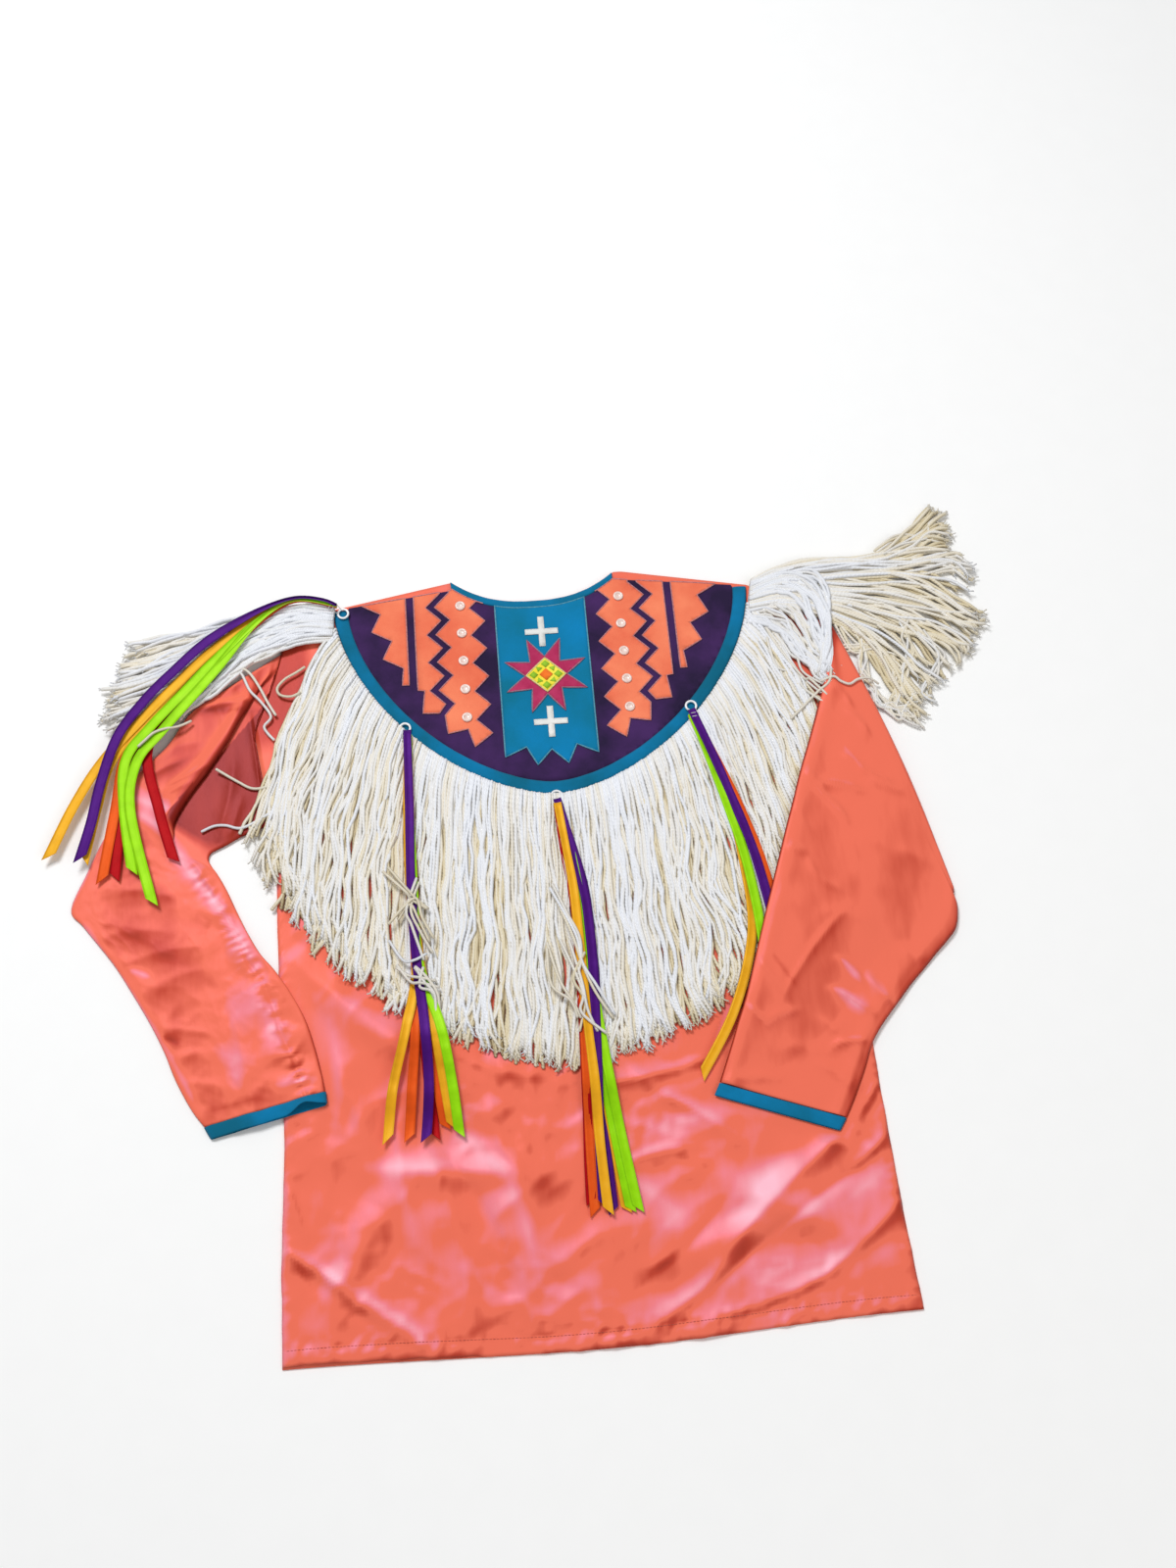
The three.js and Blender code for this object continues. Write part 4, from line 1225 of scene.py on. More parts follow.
    def free(self, x: float, y: float) -> float:
        """Return how free the cloth is to crease.

        Args:
            x: place across.
            y: place along.

        Returns:
            1 in the open, and little where anything lies on the cloth.
        """
        if y > 190:
            return 0.25
        open_cloth = 0.12 + 0.88 * smoothstep(Lay.beyond_fringe(x, y), -55, -8)
        return open_cloth * (1 - 0.92 * max(Lay.under(x, y, quad) for quad in Lay.SLEEVES_ON_BODY))

    def shade(self, x: float, y: float) -> float:
        """Return the painted shade on the front beside the yarn of both shoulders."""
        shoulder = smoothstep(y, 175, 235) * smoothstep(abs(x), 236, 262)
        return (0.30 if x < 0 else 0.14) * shoulder

    def front_place(self, u: float, v: float) -> Vector:
        """Return the place of the front's upper face.

        Args:
            u: fraction across.
            v: fraction up.

        Returns:
            The place.
        """
        x, y = self.edge(u, v)
        height = Lay.panel_top(x, y)
        if not Lay.on_yoke(x, y):
            free = self.free(x, y)
            height += free * (1.1 * relief(self.creases, x, y) + crumple(x, y, 3) * free)
        hem = y - self.hem_line(u)
        height = self.hem_height(x, hem, height)
        side = min(u, 1 - u) * 580
        if side < 7 and y < Lay.UNDERARM_Y:
            height = lerp(self.lowest, height, math.sqrt(clamp(side / 7)))
        if side < 16 and y < Lay.UNDERARM_Y:
            height += 1.1 * abs(ripple(y, side * 0.3, 11, 77)) * fall(side - 3, 13)
        pucker = 1.0 * ripple(x, 0, 16, 5) * fall(hem, 16)
        wave = 1.4 * ripple(0, y, 34, 78) * fall(side, 18) * smoothstep(Lay.UNDERARM_Y - y, 0, 60)
        return Vector((x + wave, y + pucker, max(height, self.lowest)))

    def hem_height(self, x: float, above: float, height: float) -> float:
        """Return the height near the hem, which is doubled, stitched and slightly puckered.

        Args:
            x: place across.
            above: distance above the hem edge.
            height: height of the cloth without its hem.

        Returns:
            The height.
        """
        if above > 30:
            return height
        doubled = 0.45 * (1 - smoothstep(above, self.hem_depth, self.hem_depth + 3))
        stitched = -0.7 * bell(above - self.hem_depth, 1.8)
        puckers = 1.7 * ripple(x, above, 8, 11) * bell(above - self.hem_depth, 9)
        rolled = -1.0 * (1 - math.sqrt(clamp(above / 3)))
        return height + doubled + stitched + puckers + rolled

    def back_place(self, u: float, v: float) -> Vector:
        """Return the place of the back's inner face, which shows a little past the front hem.

        Args:
            u: fraction across.
            v: fraction up.

        Returns:
            The place.
        """
        x, y = self.edge(u, v)
        drop = -2.2 * smoothstep(0.45 - u, 0, 0.4) * fall(v, 0.02)
        return Vector((x, y + drop, Lay.WALL - 0.1))

    def build(self) -> None:
        """Build both panels and the hem's stitching."""
        back = cloth_grid(58, 72, self.back_place)
        store_painted_light(back)
        back_piece = finish_piece(back, "back_satin", Finish.SATIN, ["back_panel"], wall=1.1)
        front = cloth_grid(self.columns, self.rows, self.front_place)
        store_painted_light(front, 2.6, self.painted_strokes, self.shade)
        front_piece = finish_piece(front, "front_satin", Finish.SATIN, ["front_panel"],
                                   wall=self.cloth)
        seam, steps = [], 290
        for k in range(steps + 1):
            u = k / steps
            above = self.hem_depth + self.hem_dip * math.sin(math.pi * u) ** 2 * 0.018
            v = above / (Lay.ARMHOLE_TOP_Y - Lay.HEM_Y)
            seam.append(self.front_place(clamp(u, 0.004, 0.996), v) + Vector((0, 0, 0.15)))
        thread = wound(stitches(seam, 3.4, 2.3, 0.45))
        sewn = finish_piece(thread, "hem_stitches", Finish.SEAM_STITCH)


# ------------------------------------------------------------------ sleeves

@dataclass
class Cuff:
    """Bias binding round the end of a flat sleeve.

    The rows sewn and free hold each edge: its overarm x and y, then its underarm x and y.
    """

    side: str
    sewn: tuple[float, ...]
    free: tuple[float, ...]
    width: float
    flat: Point
    middle: Callable[[float, float], float]
    pucker: tuple[float, float, float]
    gape: float = 0.0
    crown: float = 0.6

    def place(self, u: float, v: float) -> Vector:
        """Return a place on the binding.

        Args:
            u: fraction around, the upper face first.
            v: fraction from the sleeve to the open end.

        Returns:
            The place.
        """
        ax, ay, bx, by = (lerp(a, b, v) for a, b in zip(self.sewn, self.free))
        t = 2 * u if u <= 0.5 else 2 - 2 * u
        x, y = lerp(ax, bx, t), lerp(ay, by, t)
        if u <= 0.5 and self.gape:
            drawn = 6.0 * bell(t - 0.84, 0.12) * v + 0.8 * ripple(x, 3, 13, 7)
            x, y = x - 0.5 * drawn, y + drawn
        round_off = (Lay.LAYERS / 2 + Lay.CUFF_WALL) * rounded(min(t, 1 - t) * self.width)
        middle = self.middle(x, y)
        if u > 0.5:
            return Vector((x, y, middle - round_off))
        size, pitch, seed = self.pucker
        mouth = self.gape * bell(t - 0.86, 0.13) * (0.35 + 0.65 * v)
        crown = self.crown * crowned(v) + size * ripple(x, y, pitch, seed)
        return Vector((x, y, middle + round_off + mouth + crown))

    def build(self) -> None:
        tube = cloth_tube(96, 10, self.place)
        store_painted_light(tube, 1.0)
        cuff = finish_piece(tube, f"{self.side}_cuff_binding", Finish.BINDING,
                            [f"cuff_binding_{self.side}"], wall=0.9)


@dataclass
class RightSleeve:
    """Wearer's right sleeve: it lies out to the side, its upper arm folded over along a crease."""

    around: int = 140
    rows: int = 210
    top_share: float = 0.66
    cloth: float = 0.8
    overlap: float = 8.0
    lip: tuple[Point, Point] = ((-394, 138), (-299, 251))
    stations: list[tuple[float, ...]] = field(default_factory=list)
    # ax, ay, bx, by, crease, step: outer edge a, underarm edge b
    table: tuple[tuple[float, ...], ...] = (
        (-279.4, 312, -288.4, 122, 0.10, 0.4),
        (-318, 287, -305, 113, 0.18, 2.4), (-345, 269, -322, 107, 0.32, 3),
        (-374, 249, -337, 99, 0.42, 3), (-398, 213, -348, 94, 0.43, 3),
        (-430, 180, -353, 91, 0.49, 3), (-436, 158, -355, 85, 0.5, 2.6),
        (-446, 136, -352, 78, 0.56, 1.6), (-460, 116, -346, 69, 0.66, 0.8),
        (-476, 80, -337, 52, 0.78, 0.6), (-490, 43, -327, 29, 0.86, 0.6),
        (-477, 24, -316, 5, 0.86, 0.6), (-448, -15, -304, -17, 0.84, 0.6),
        (-429, -46, -290, -35, 0.82, 0.6), (-411, -78, -276, -57, 0.82, 0.6),
        (-397, -107, -262, -85, 0.82, 0.6), (-386, -135, -253, -114, 0.8, 0.5),
        (-371, -164, -247, -141, 0.8, 0.4), (-358.5, -181.4, -244.2, -157.9, 0.8, 0.3),
    )
    flap: tuple[Crease, ...] = read_creases("""
        -376 250 -306 258 5 1.6 3 1.8, -302 274 -276 306 4 1.4 0 1.5,
        -392 170 -358 186 5 1.3 0 1.6, -352 262 -340 232 6 1 2, -420 176 -380 196 7 1.1 2,
        -400 158 -376 168 4 1, -412 200 -360 214 10 0.9 4, -330 280 -306 240 7 -0.9
    """)
    lower: tuple[Crease, ...] = read_creases("""
        -309 236 -300 166 2.2 -0.8, -313 236 -304 160 4 0.9, -330 190 -346 112 9 1.4 3,
        -322 150 -336 104 7 1, -300 200 -292 150 7 1
    """)
    forearm: tuple[Crease, ...] = read_creases("""
        -432 154 -386 108 7 2.4 5 1.6, -386 108 -342 30 8 2.6 3 1.3, -342 30 -318 -30 9 2 2 1.2,
        -432 138 -390 96 6 -1.6 4, -392 126 -326 52 9 1.7 3, -326 52 -300 0 8 1.3 2,
        -440 118 -400 112 7 1.4 3 1.4, -446 98 -404 86 8 1.2 3, -474 84 -486 46 9 1.4 2,
        -462 60 -380 44 13 1.3 5, -468 8 -400 14 14 1.6 5 1.3, -440 -20 -360 -6 12 1.5 6,
        -430 -56 -372 -30 12 1.5 4, -414 -84 -350 -96 12 1.7 4 1.4,
        -398 -118 -350 -110 9 1.4 3 1.5, -382 -140 -330 -150 11 1.5 4,
        -352 -60 -340 -128 10 1.5 4 1.3, -330 -86 -322 -150 9 1.2 3, -376 10 -352 -40 13 1.4 4,
        -300 -120 -262 -132 8 1.3 3
    """)
    seam: tuple[Point, ...] = (
        (-393, 118), (-380, 93), (-362, 62), (-340, 27), (-326, 0), (-316, -26), (-302, -46),
        (-292, -73), (-286, -98), (-276, -120), (-268, -142), (-262, -162),
    )

    # Strokes of painted highlight, and of painted shade where the height is below zero, with the
    # fields of a crease.
    painted_strokes: tuple[Crease, ...] = read_creases("""
        -430 157 -389 138 9 0.34, -426 141 -400 120 9 0.38, -400 120 -382 85 10 0.34,
        -382 85 -340 27 10 0.34, -340 27 -303 -37 12 0.28, -310 -57 -284 -118 18 0.26,
        -365 114 -323 62 7 -0.12, -323 62 -279 -32 9 -0.10, -449 28 -388 -16 13 -0.18,
        -388 -16 -337 -52 13 -0.10, -416 66 -388 41 12 -0.18, -480 30 -438 -33 5 0.24,
        -438 -33 -397 -99 5 0.20, -397 -99 -366 -161 5 0.20, -397 -92 -383 -100 4 -0.30,
        -350 -166 -298 -157 6 -0.14, -291 -148 -251 -144 8 0.24, -431 -23 -411 -32 5 0.28,
        -373 251 -308 246 4 -0.26, -397 185 -362 202 6 -0.10, -458 112 -430 60 14 -0.10,
        -345 -100 -322 -150 14 0.14, -438 176 -404 150 12 0.20, -412 96 -372 30 16 0.12,
        -356 -10 -322 -90 22 0.14, -306 60 -290 0 8 -0.10, -440 60 -400 -10 20 -0.06,
        -352 -110 -300 -128 14 0.10
    """)

    def shade(self, x: float, y: float) -> float:
        """Return how much deeper the sleeve is all over, with painted shadow under the folded edge,
        deepest there.

        Args:
            x: place across.
            y: place along.

        Returns:
            The share of painted shade to take off its tone.
        """
        (x0, y0), (x1, y1) = self.lip
        dx, dy = x1 - x0, y1 - y0
        t = ((x - x0) * dx + (y - y0) * dy) / (dx * dx + dy * dy)
        side = ((x - x0) * dy - (y - y0) * dx) / math.hypot(dx, dy)
        if side < -1:
            return 0.11 + 0.07 * smoothstep(t, -0.3, 0.2)
        # painted shadow below the folded edge, fading away from it and towards its ends
        ends = smoothstep(t, -0.12, 0.08) * (1 - 0.55 * smoothstep(t, 1.0, 1.35))
        near = smoothstep(y, 84, 116) * smoothstep(-x, 240, 262)
        return 0.11 + (0.46 + 0.32 * bell(max(0.0, side), 30)) * ends * near

    def seam_height(self, x: float, y: float) -> float:
        """Return the puckered trough of the underarm seam.

        Args:
            x: place across.
            y: place along.

        Returns:
            The height that it adds.
        """
        best, along = 1e9, 0.0
        for start, end in zip(self.seam, self.seam[1:]):
            t, away = nearest(x, y, start, end)
            if away < best:
                best, along = away, lerp(start[1], end[1], t)
        if best > 40:
            return 0.0
        pucker = 2.6 * ripple(along * 1.5, best * 0.5, 7, 21) * bell(best, 9)
        pucker += 3.4 * ripple(along, best * 0.7, 21, 22) * bell(best, 24)
        return fall(along - 40, 60) * (pucker - 1.1 * bell(best, 2.2) + 0.5 * bell(best, 8))

    def ring(self, v: float) -> tuple[float, ...]:
        """Return the table's columns at a fraction along the sleeve."""
        return self.stations[min(int(round(v * self.rows)), self.rows)]

    def place(self, u: float, v: float) -> Vector:
        """Return a place on the sleeve.

        Args:
            u: fraction around, the upper face first, from the outer edge to the underarm edge.
            v: fraction from the armhole to the cuff.

        Returns:
            The place.
        """
        ax, ay, bx, by, crease, step, first = self.ring(v)
        width = math.hypot(bx - ax, by - ay)
        top = u <= self.top_share
        q = u / self.top_share if top else (1 - u) / (1 - self.top_share)
        overlap = self.overlap * smoothstep(step, 0.9, 2.6)
        along, high, folded = q * width, 0.0, False
        if top:
            along, high, folded = self.fold(q, width, crease, step, overlap)
        t = clamp(along / width)
        x, y = lerp(ax, bx, t), lerp(ay, by, t)
        if first > 0:
            x += first * (look_up(Lay.BODY_EDGE, lerp(312, 122, t), 1) - lerp(-279, -288, t))
        base = Lay.forearm_base(x, y) + Lay.ABOVE_FLOOR
        edge = min(along, width - along)
        half = Lay.LAYERS / 2
        if not top:
            return Vector((x, y, base + half - half * rounded(edge)))
        z = base + half + half * rounded(edge) + high
        inner = smoothstep(edge, 0, 12)
        if step > 0.9:
            z += inner * relief(self.flap if folded else self.lower, x, y)
            z += inner * (0.5 * ripple(x, y, 30, 4)) * (1 if folded else 0.4)
        blend = 1 - smoothstep(step, 0.7, 1.6)
        if blend > 0:
            waves = 0.4 * crumple(x, y, 9, 0.5)
            z += blend * inner * (0.6 * relief(self.forearm, x, y) + self.seam_height(x, y) + waves)
        open_mouth = smoothstep(v, 0.93, 1) * bell(t - 0.9, 0.16)
        return Vector((x, y, max(z, base + 0.9) + 1.8 * open_mouth))

    def fold(self, q: float, width: float, crease: float, step: float,
             overlap: float) -> tuple[float, float, bool]:
        """Follow the upper face over its crease.

        Args:
            q: fraction of the cloth's run from the outer to the underarm edge.
            width: distance between the edges.
            crease: fraction across at which it is folded.
            step: height of the folded side above the other.
            overlap: half of the run that lies double.

        Returns:
            Distance across, height above the lower layer, and whether it is on the folded side.
        """
        middle = crease * width
        out, back = middle + overlap, 2 * overlap
        run = q * (width + 2 * back)
        puff = 4.2 * smoothstep(step, 1.5, 3)
        if overlap < 0.5:
            return q * width, step * fall(q * width - middle + 4, 8), q * width < middle
        if run < out:
            lift = puff * bell(out - run - 9, 13)
            turned = rounded(out - run, 2.5)
            return run, lerp(0.62, 1, turned) * step + lift * turned, True
        if run < out + back:
            t = (run - out) / back
            high = step * lerp(0.62, 0.35, t) + puff * 0.35 * math.sin(math.pi * t)
            return out - (run - out), high, False
        run -= 2 * back
        start = clamp((run - middle + overlap) / 4)
        return run, step * 0.35 * (1 - start), False

    def build(self) -> None:
        armhole = (1.0, *[0.0] * (len(self.table) - 1))
        rows = evenly([(*row, first) for row, first in zip(self.table, armhole)], self.rows)
        self.stations = [(*row[:-1], clamp(row[-1])) for row in rows]
        tube = cloth_tube(self.around, self.rows, self.place)
        store_painted_light(tube, 1.8, self.painted_strokes, self.shade, 1.25)
        piece = finish_piece(tube, "right_sleeve_satin", Finish.SATIN, ["sleeve_right"],
                             wall=self.cloth)
        Cuff("right", (-358.5, -181.6, -244.3, -158.1), (-352, -193, -243, -170), 118,
             (0.24, 0.013), self.cuff_middle, (0.7, 11, 6), 7.0).build()

    def cuff_middle(self, x: float, y: float) -> float:
        """Return the height midway through the end of the sleeve and its binding."""
        return Lay.forearm_base(x, y) + Lay.ABOVE_FLOOR + (Lay.LAYERS / 2 + Lay.CUFF_WALL)


@dataclass
class LeftSleeve:
    """Wearer's left sleeve: folded back across the body along a rounded turn."""

    around: int = 100
    rows: int = 170
    top_share: float = 0.66
    cloth: float = 0.8
    fold_start: tuple[float, float] = (310, 304)
    fold_end: tuple[float, float] = (392, -6)
    bow: float = 7.0
    lower_end: float = 0.06
    turn_end: float = 0.13
    upper_rows: int = 0
    stations: list[tuple[float, ...]] = field(default_factory=list)
    # ax, ay, bx, by: overarm edge a, underarm edge b, after the fold
    table: tuple[tuple[float, ...], ...] = (
        (297, 260, 391, -22), (284, 217, 386, -43), (268, 175, 374, -57), (251, 134, 361, -69),
        (239, 102, 347, -83), (227, 71, 332, -97), (211, 28, 317, -113), (195, -15, 302, -129),
        (180, -57, 291, -142), (165, -99, 282, -156), (155, -122, 272, -178),
        (145, -146, 259, -203), (130.5, -179, 248, -222),
    )
    creases: tuple[Crease, ...] = read_creases("""
        226 54 244 44 4 1.3 0 1.6, 246 36 270 4 4 1.2 -4 1.6, 262 116 292 78 5 1.9 3 1.7,
        276 121 314 108 5 1.6 2 1.6, 258 134 276 112 4 1.4 0 1.5, 300 150 318 128 5 1.6 2 1.5,
        318 132 344 116 5 1.5 -2 1.5, 322 118 352 104 4 1, 206 -96 274 -20 6 1.2 4 1.5,
        178 -56 208 -106 4 1.2 0 1.6, 262 -68 284 -92 4 2 2 1.6, 252 -98 286 -122 6 2.4 2 1.7,
        160 -104 184 -126 4 1.2 0 1.6, 184 -124 214 -116 5 1.2 2, 126 -184 148 -190 4 1.5 2 1.5,
        140 -178 190 -180 8 1.3 2, 290 -86 312 -118 6 1.8 -3 1.5, 238 -128 272 -176 8 1.4 4,
        228 -168 262 -200 7 1.5 3 1.4, 196 -150 236 -162 9 1.1 3, 330 -60 352 -84 8 1.3 2,
        340 40 372 20 10 1 3, 300 60 340 30 14 1 4, 310 200 330 170 6 1.4 2 1.5,
        300 230 316 204 5 1.3 2 1.4, 254 -20 300 -34 14 1 4, 220 0 262 -60 15 0.9 5,
        244 -152 276 -150 5 1.5 2 1.6
    """)

    # Strokes of painted highlight, and of painted shade where the height is below zero, with the
    # fields of a crease.
    painted_strokes: tuple[Crease, ...] = read_creases("""
        265 -70 280 -90 4 0.40, 254 -99 280 -121 7 0.42, 164 -106 183 -126 3 0.16,
        183 -126 212 -116 3 0.12, 289 213 231 75 14 0.10, 231 75 170 -70 18 0.14,
        262 116 290 80 4 0.20, 276 121 310 110 4 0.16, 300 160 318 128 4 0.18,
        128 -184 146 -190 4 0.26, 290 -90 316 -120 6 0.14, 300 -20 282 -110 20 0.12,
        350 60 372 -30 24 -0.03, 228 -120 196 -168 16 -0.04, 270 110 330 60 26 -0.04,
        196 -60 214 -90 3 -0.14
    """)

    def shade(self, x: float, y: float) -> float:
        """Return how much deeper the sleeve is all over, with painted shade along its overarm edge.
        """
        return 0.07 + 0.24 * bell(Lay.past_overarm(x, y), 6)

    def layer(self, v: float, t: float) -> tuple[Vector, Vector]:
        """Return a place on the face that ends on top, and the way through the two layers.

        Args:
            v: fraction from the armhole to the cuff.
            t: fraction from the overarm to the underarm edge.

        Returns:
            The place and the direction.
        """
        if v < self.lower_end:
            s = v / self.lower_end
            y = lerp(312, 122, t)
            hole = Vector((look_up(Lay.BODY_EDGE, y, 2) + 0.4, y, Lay.ABOVE_FLOOR))
            fold, _ = self.turned(0.0, t)
            return hole.lerp(fold, s), Vector((0, 0, 1))
        if v < self.turn_end:
            return self.turned((v - self.lower_end) / (self.turn_end - self.lower_end), t)
        s = (v - self.turn_end) / (1 - self.turn_end)
        ax, ay, bx, by = self.stations[min(int(round(s * self.upper_rows)), self.upper_rows)]
        x, y = lerp(ax, bx, t), lerp(ay, by, t)
        return Vector((x, y, Lay.folded_sleeve_top(x, y))), Vector((0, 0, -1))

    def turned(self, s: float, t: float) -> tuple[Vector, Vector]:
        """Return a place on the rounded fold.

        Args:
            s: 0 where it leaves the floor, 1 where it lies back.
            t: fraction along the fold.

        Returns:
            The place and the direction through the layers.
        """
        start = Vector((*self.fold_start, 0))
        along = Vector((*self.fold_end, 0)) - start
        outward = Vector((-along.y, along.x, 0)).normalized()
        flat = start + along * t + outward * (self.bow * math.sin(math.pi * t))
        radius = Lay.folded_sleeve_top(flat.x, flat.y) / 2
        angle = math.radians(lerp(-90, 90, s))
        towards = outward * -math.cos(angle) + Vector((0, 0, -math.sin(angle)))
        middle = flat - outward * radius + Vector((0, 0, radius))
        return middle - towards * radius, towards

    def place(self, u: float, v: float) -> Vector:
        """Return a place on the sleeve.

        Args:
            u: fraction around, the face that ends on top first.
            v: fraction from the armhole to the cuff.

        Returns:
            The place.
        """
        top = u <= self.top_share
        t = u / self.top_share if top else (1 - u) / (1 - self.top_share)
        at, towards = self.layer(v, t)
        edge = min(t, 1 - t) * (190 if v < 0.5 else 130)
        half = Lay.LAYERS / 2
        round_off = half * rounded(edge)
        if not top:
            return at + towards * (half + round_off)
        out = at + towards * (half - round_off)
        if v > self.turn_end:
            inner = smoothstep(edge, 0, 10) * smoothstep(v, self.turn_end, self.turn_end + 0.05)
            waves = 0.45 * ripple(at.x, at.y, 60, 14) + 0.3 * ripple(at.x, at.y, 20, 15)
            out.z += inner * (1.5 * relief(self.creases, at.x, at.y) + waves)
            out.z += 1.2 * bell(edge - 9, 9) * inner
        return out

    def build(self) -> None:
        self.upper_rows = round(self.rows * (1 - self.turn_end))
        turn = (*self.turned(1.0, 0.0)[0].xy, *self.turned(1.0, 1.0)[0].xy)
        self.stations = evenly([turn, *self.table], self.upper_rows)
        tube = cloth_tube(self.around, self.rows, self.place)
        store_painted_light(tube, 1.25, self.painted_strokes, self.shade)
        piece = finish_piece(tube, "left_sleeve_satin", Finish.SATIN, ["sleeve_left"],
                             wall=self.cloth)
        Cuff("left", (130.2, -179.7, 247.7, -222.7), (124, -191, 240, -234), 125, (0.25, 0.013),
             self.cuff_middle, (0.25, 7, 8)).build()

    def cuff_middle(self, x: float, y: float) -> float:
        """Return the height midway through the end of the sleeve and its binding."""
        return Lay.folded_sleeve_top(x, y) - Lay.LAYERS / 2


# ------------------------------------------------------------------ yoke

@dataclass
class Yoke:
    """Round yoke: dyed cotton with applique columns, star, crosses, bindings and buttons."""

    motif_x: float = -2.5
    band: float = 14.0
    neck_band: float = 8.5
    base_top: float = 4.5
    patch_rise: float = 0.9
    tooth: float = 33.0
    drawn_to: float = 400.0
    star_x: float = -2.0
    star_y: float = 265.0

    wrinkles: tuple[Crease, ...] = read_creases("""
        -72 330 -66 196 3.2 1 2 1.6, 66 340 74 200 4 0.8 2, -40 300 -34 210 5 0.6 2,
        -150 330 -132 262 6 0.8 4, 140 340 128 262 6 0.7 3, -100 205 -40 160 7 0.7 3,
        40 160 110 200 7 0.7 3, 20 330 36 296 6 0.6 2
    """)

    def pucker(self, x: float, y: float) -> float:
        """Return the gentle unevenness that every layer of the yoke shares."""
        soft = 0.9 * ripple(x, y, 46, 31) + 0.35 * ripple(x, y, 17, 32)
        return (soft + relief(self.wrinkles, x, y)) * 0.8 + 0.5

    def field_top(self, x: float) -> float:
        """Return the y at which the yoke's field ends below the neck or shoulder.

        Args:
            x: place across.

        Returns:
            The y.
        """
        if abs(x - Lay.NECK_X) < 87.6:
            return Lay.neckline(x) - self.neck_band - 0.3
        return look_up(((78.6, 376.1), (209, 360)), abs(x), 1)

    def field(self) -> list[Point]:
        """Return the outline of the yoke inside its bindings.

        Returns:
            The corners.
        """
        low = [Lay.arc(k / 56, -self.band - 0.3) for k in range(57)]
        top = [(x, self.field_top(x)) for x in (lerp(-207, 207, k / 44) for k in range(45))]
        return low + top

    def trim(self, outline: Sequence[Point]) -> list[Point]:
        """Cut an outline off where it passes the top of the field.

        Args:
            outline: corners in order, some of them above the field.

        Returns:
            The corners below, with the cut edge in short steps.
        """
        fine: list[Point] = []
        for a, b in zip(outline, [*outline[1:], outline[0]]):
            count = 24 if max(a[1], b[1]) > 340 else 1
            fine += stepped(a, b, count)
        kept: list[Point] = []
        for x, y in fine:
            point = (x, min(y, self.field_top(x)))
            if not kept or math.dist(kept[-1], point) > 0.4:
                kept.append(point)
        return self.corners(kept)

    def corners(self, points: list[Point]) -> list[Point]:
        """Drop points that lie on a straight run between their neighbours.

        Args:
            points: an outline.

        Returns:
            Its corners.
        """
        out = []
        before, after = [points[-1], *points], [*points[1:], points[0]]
        for (x0, y0), (x, y), (x1, y1) in zip(before, points, after):
            if abs((x - x0) * (y1 - y) - (y - y0) * (x1 - x)) > 1e-3:
                out.append((x, y))
        return out

    def teeth(self, root: float, tip: float, top: float, count: int) -> list[Point]:
        """Return a sawtooth edge from top to bottom, alternating between root and tip."""
        return self.shifted(*[((root, tip)[i % 2], top - i * self.tooth / 2) for i in range(count)])

    def shifted(self, *points: Point) -> list[Point]:
        """Return points measured from the motif's centre line."""
        return [(self.motif_x + x, y) for x, y in points]

    def columns(self) -> dict[str, list[Point]]:
        """Draw the applique columns on the wearer's left, up past the field's top edge.

        Returns:
            Each column's outline by name.
        """
        up = self.drawn_to
        foot = self.shifted((79, 188), (85, 209), (106, 205), (108, 226))
        inner = self.teeth(76, 60, 384, 12) + foot + self.teeth(97, 113, 371, 9)[::-1]
        ledge = self.shifted((114, 229), (131, 230), (128, 256), (135, 257), (135, up), (107, up))
        steps = []
        for i in range(3):
            steps += [(192 - 11 * i, 362 - 33 * i), (171 - 11 * i, 350 - 33 * i)]
        return {
            "inner": inner + self.shifted((97, up), (76, up)),
            "middle": self.teeth(107, 123, 371, 9) + ledge,
            "outer": self.shifted(*steps, (151, 264), (144, 264), (144, up), (192, up)),
        }

    def centre(self) -> list[Point]:
        """Return the outline of the centre patch with its toothed lower edge.

        Returns:
            The corners.
        """
        low = read_places("-48.5 174, -26 184, -15.5 163, 0 180, 16.5 163, 26.5 184, 48.5 173")
        up = self.drawn_to
        return self.shifted((-48.5, up), *low, (48.5, up))

    def star(self) -> list[Point]:
        """Draw an eight-pointed star from two radii.

        Returns:
            Its outline.
        """
        points = []
        for i in range(16):
            radius, angle = (22, 46)[i % 2], math.pi * i / 8
            points.append((self.star_x + radius * math.cos(angle),
                           self.star_y + radius * math.sin(angle)))
        return points

    def diamond(self, half_x: float, half_y: float, dx: float = 0.0,
                dy: float = 0.0) -> list[Point]:
        """Return a diamond about the star's centre, moved by dx and dy."""
        x, y = self.star_x + dx, self.star_y + dy
        return [(x + half_x, y), (x, y + half_y), (x - half_x, y), (x, y - half_y)]

    def cross(self, x: float, y: float) -> list[Point]:
        """Return an even-armed cross.

        Args:
            x: its middle across.
            y: its middle along.

        Returns:
            The corners.
        """
        arm, bar = 17.5, 3.0
        corners = [(arm, bar), (bar, bar), (bar, arm), (-bar, arm), (-bar, bar), (-arm, bar)]
        return [(x + cx, y + cy) for cx, cy in corners + [(-cx, -cy) for cx, cy in corners]]

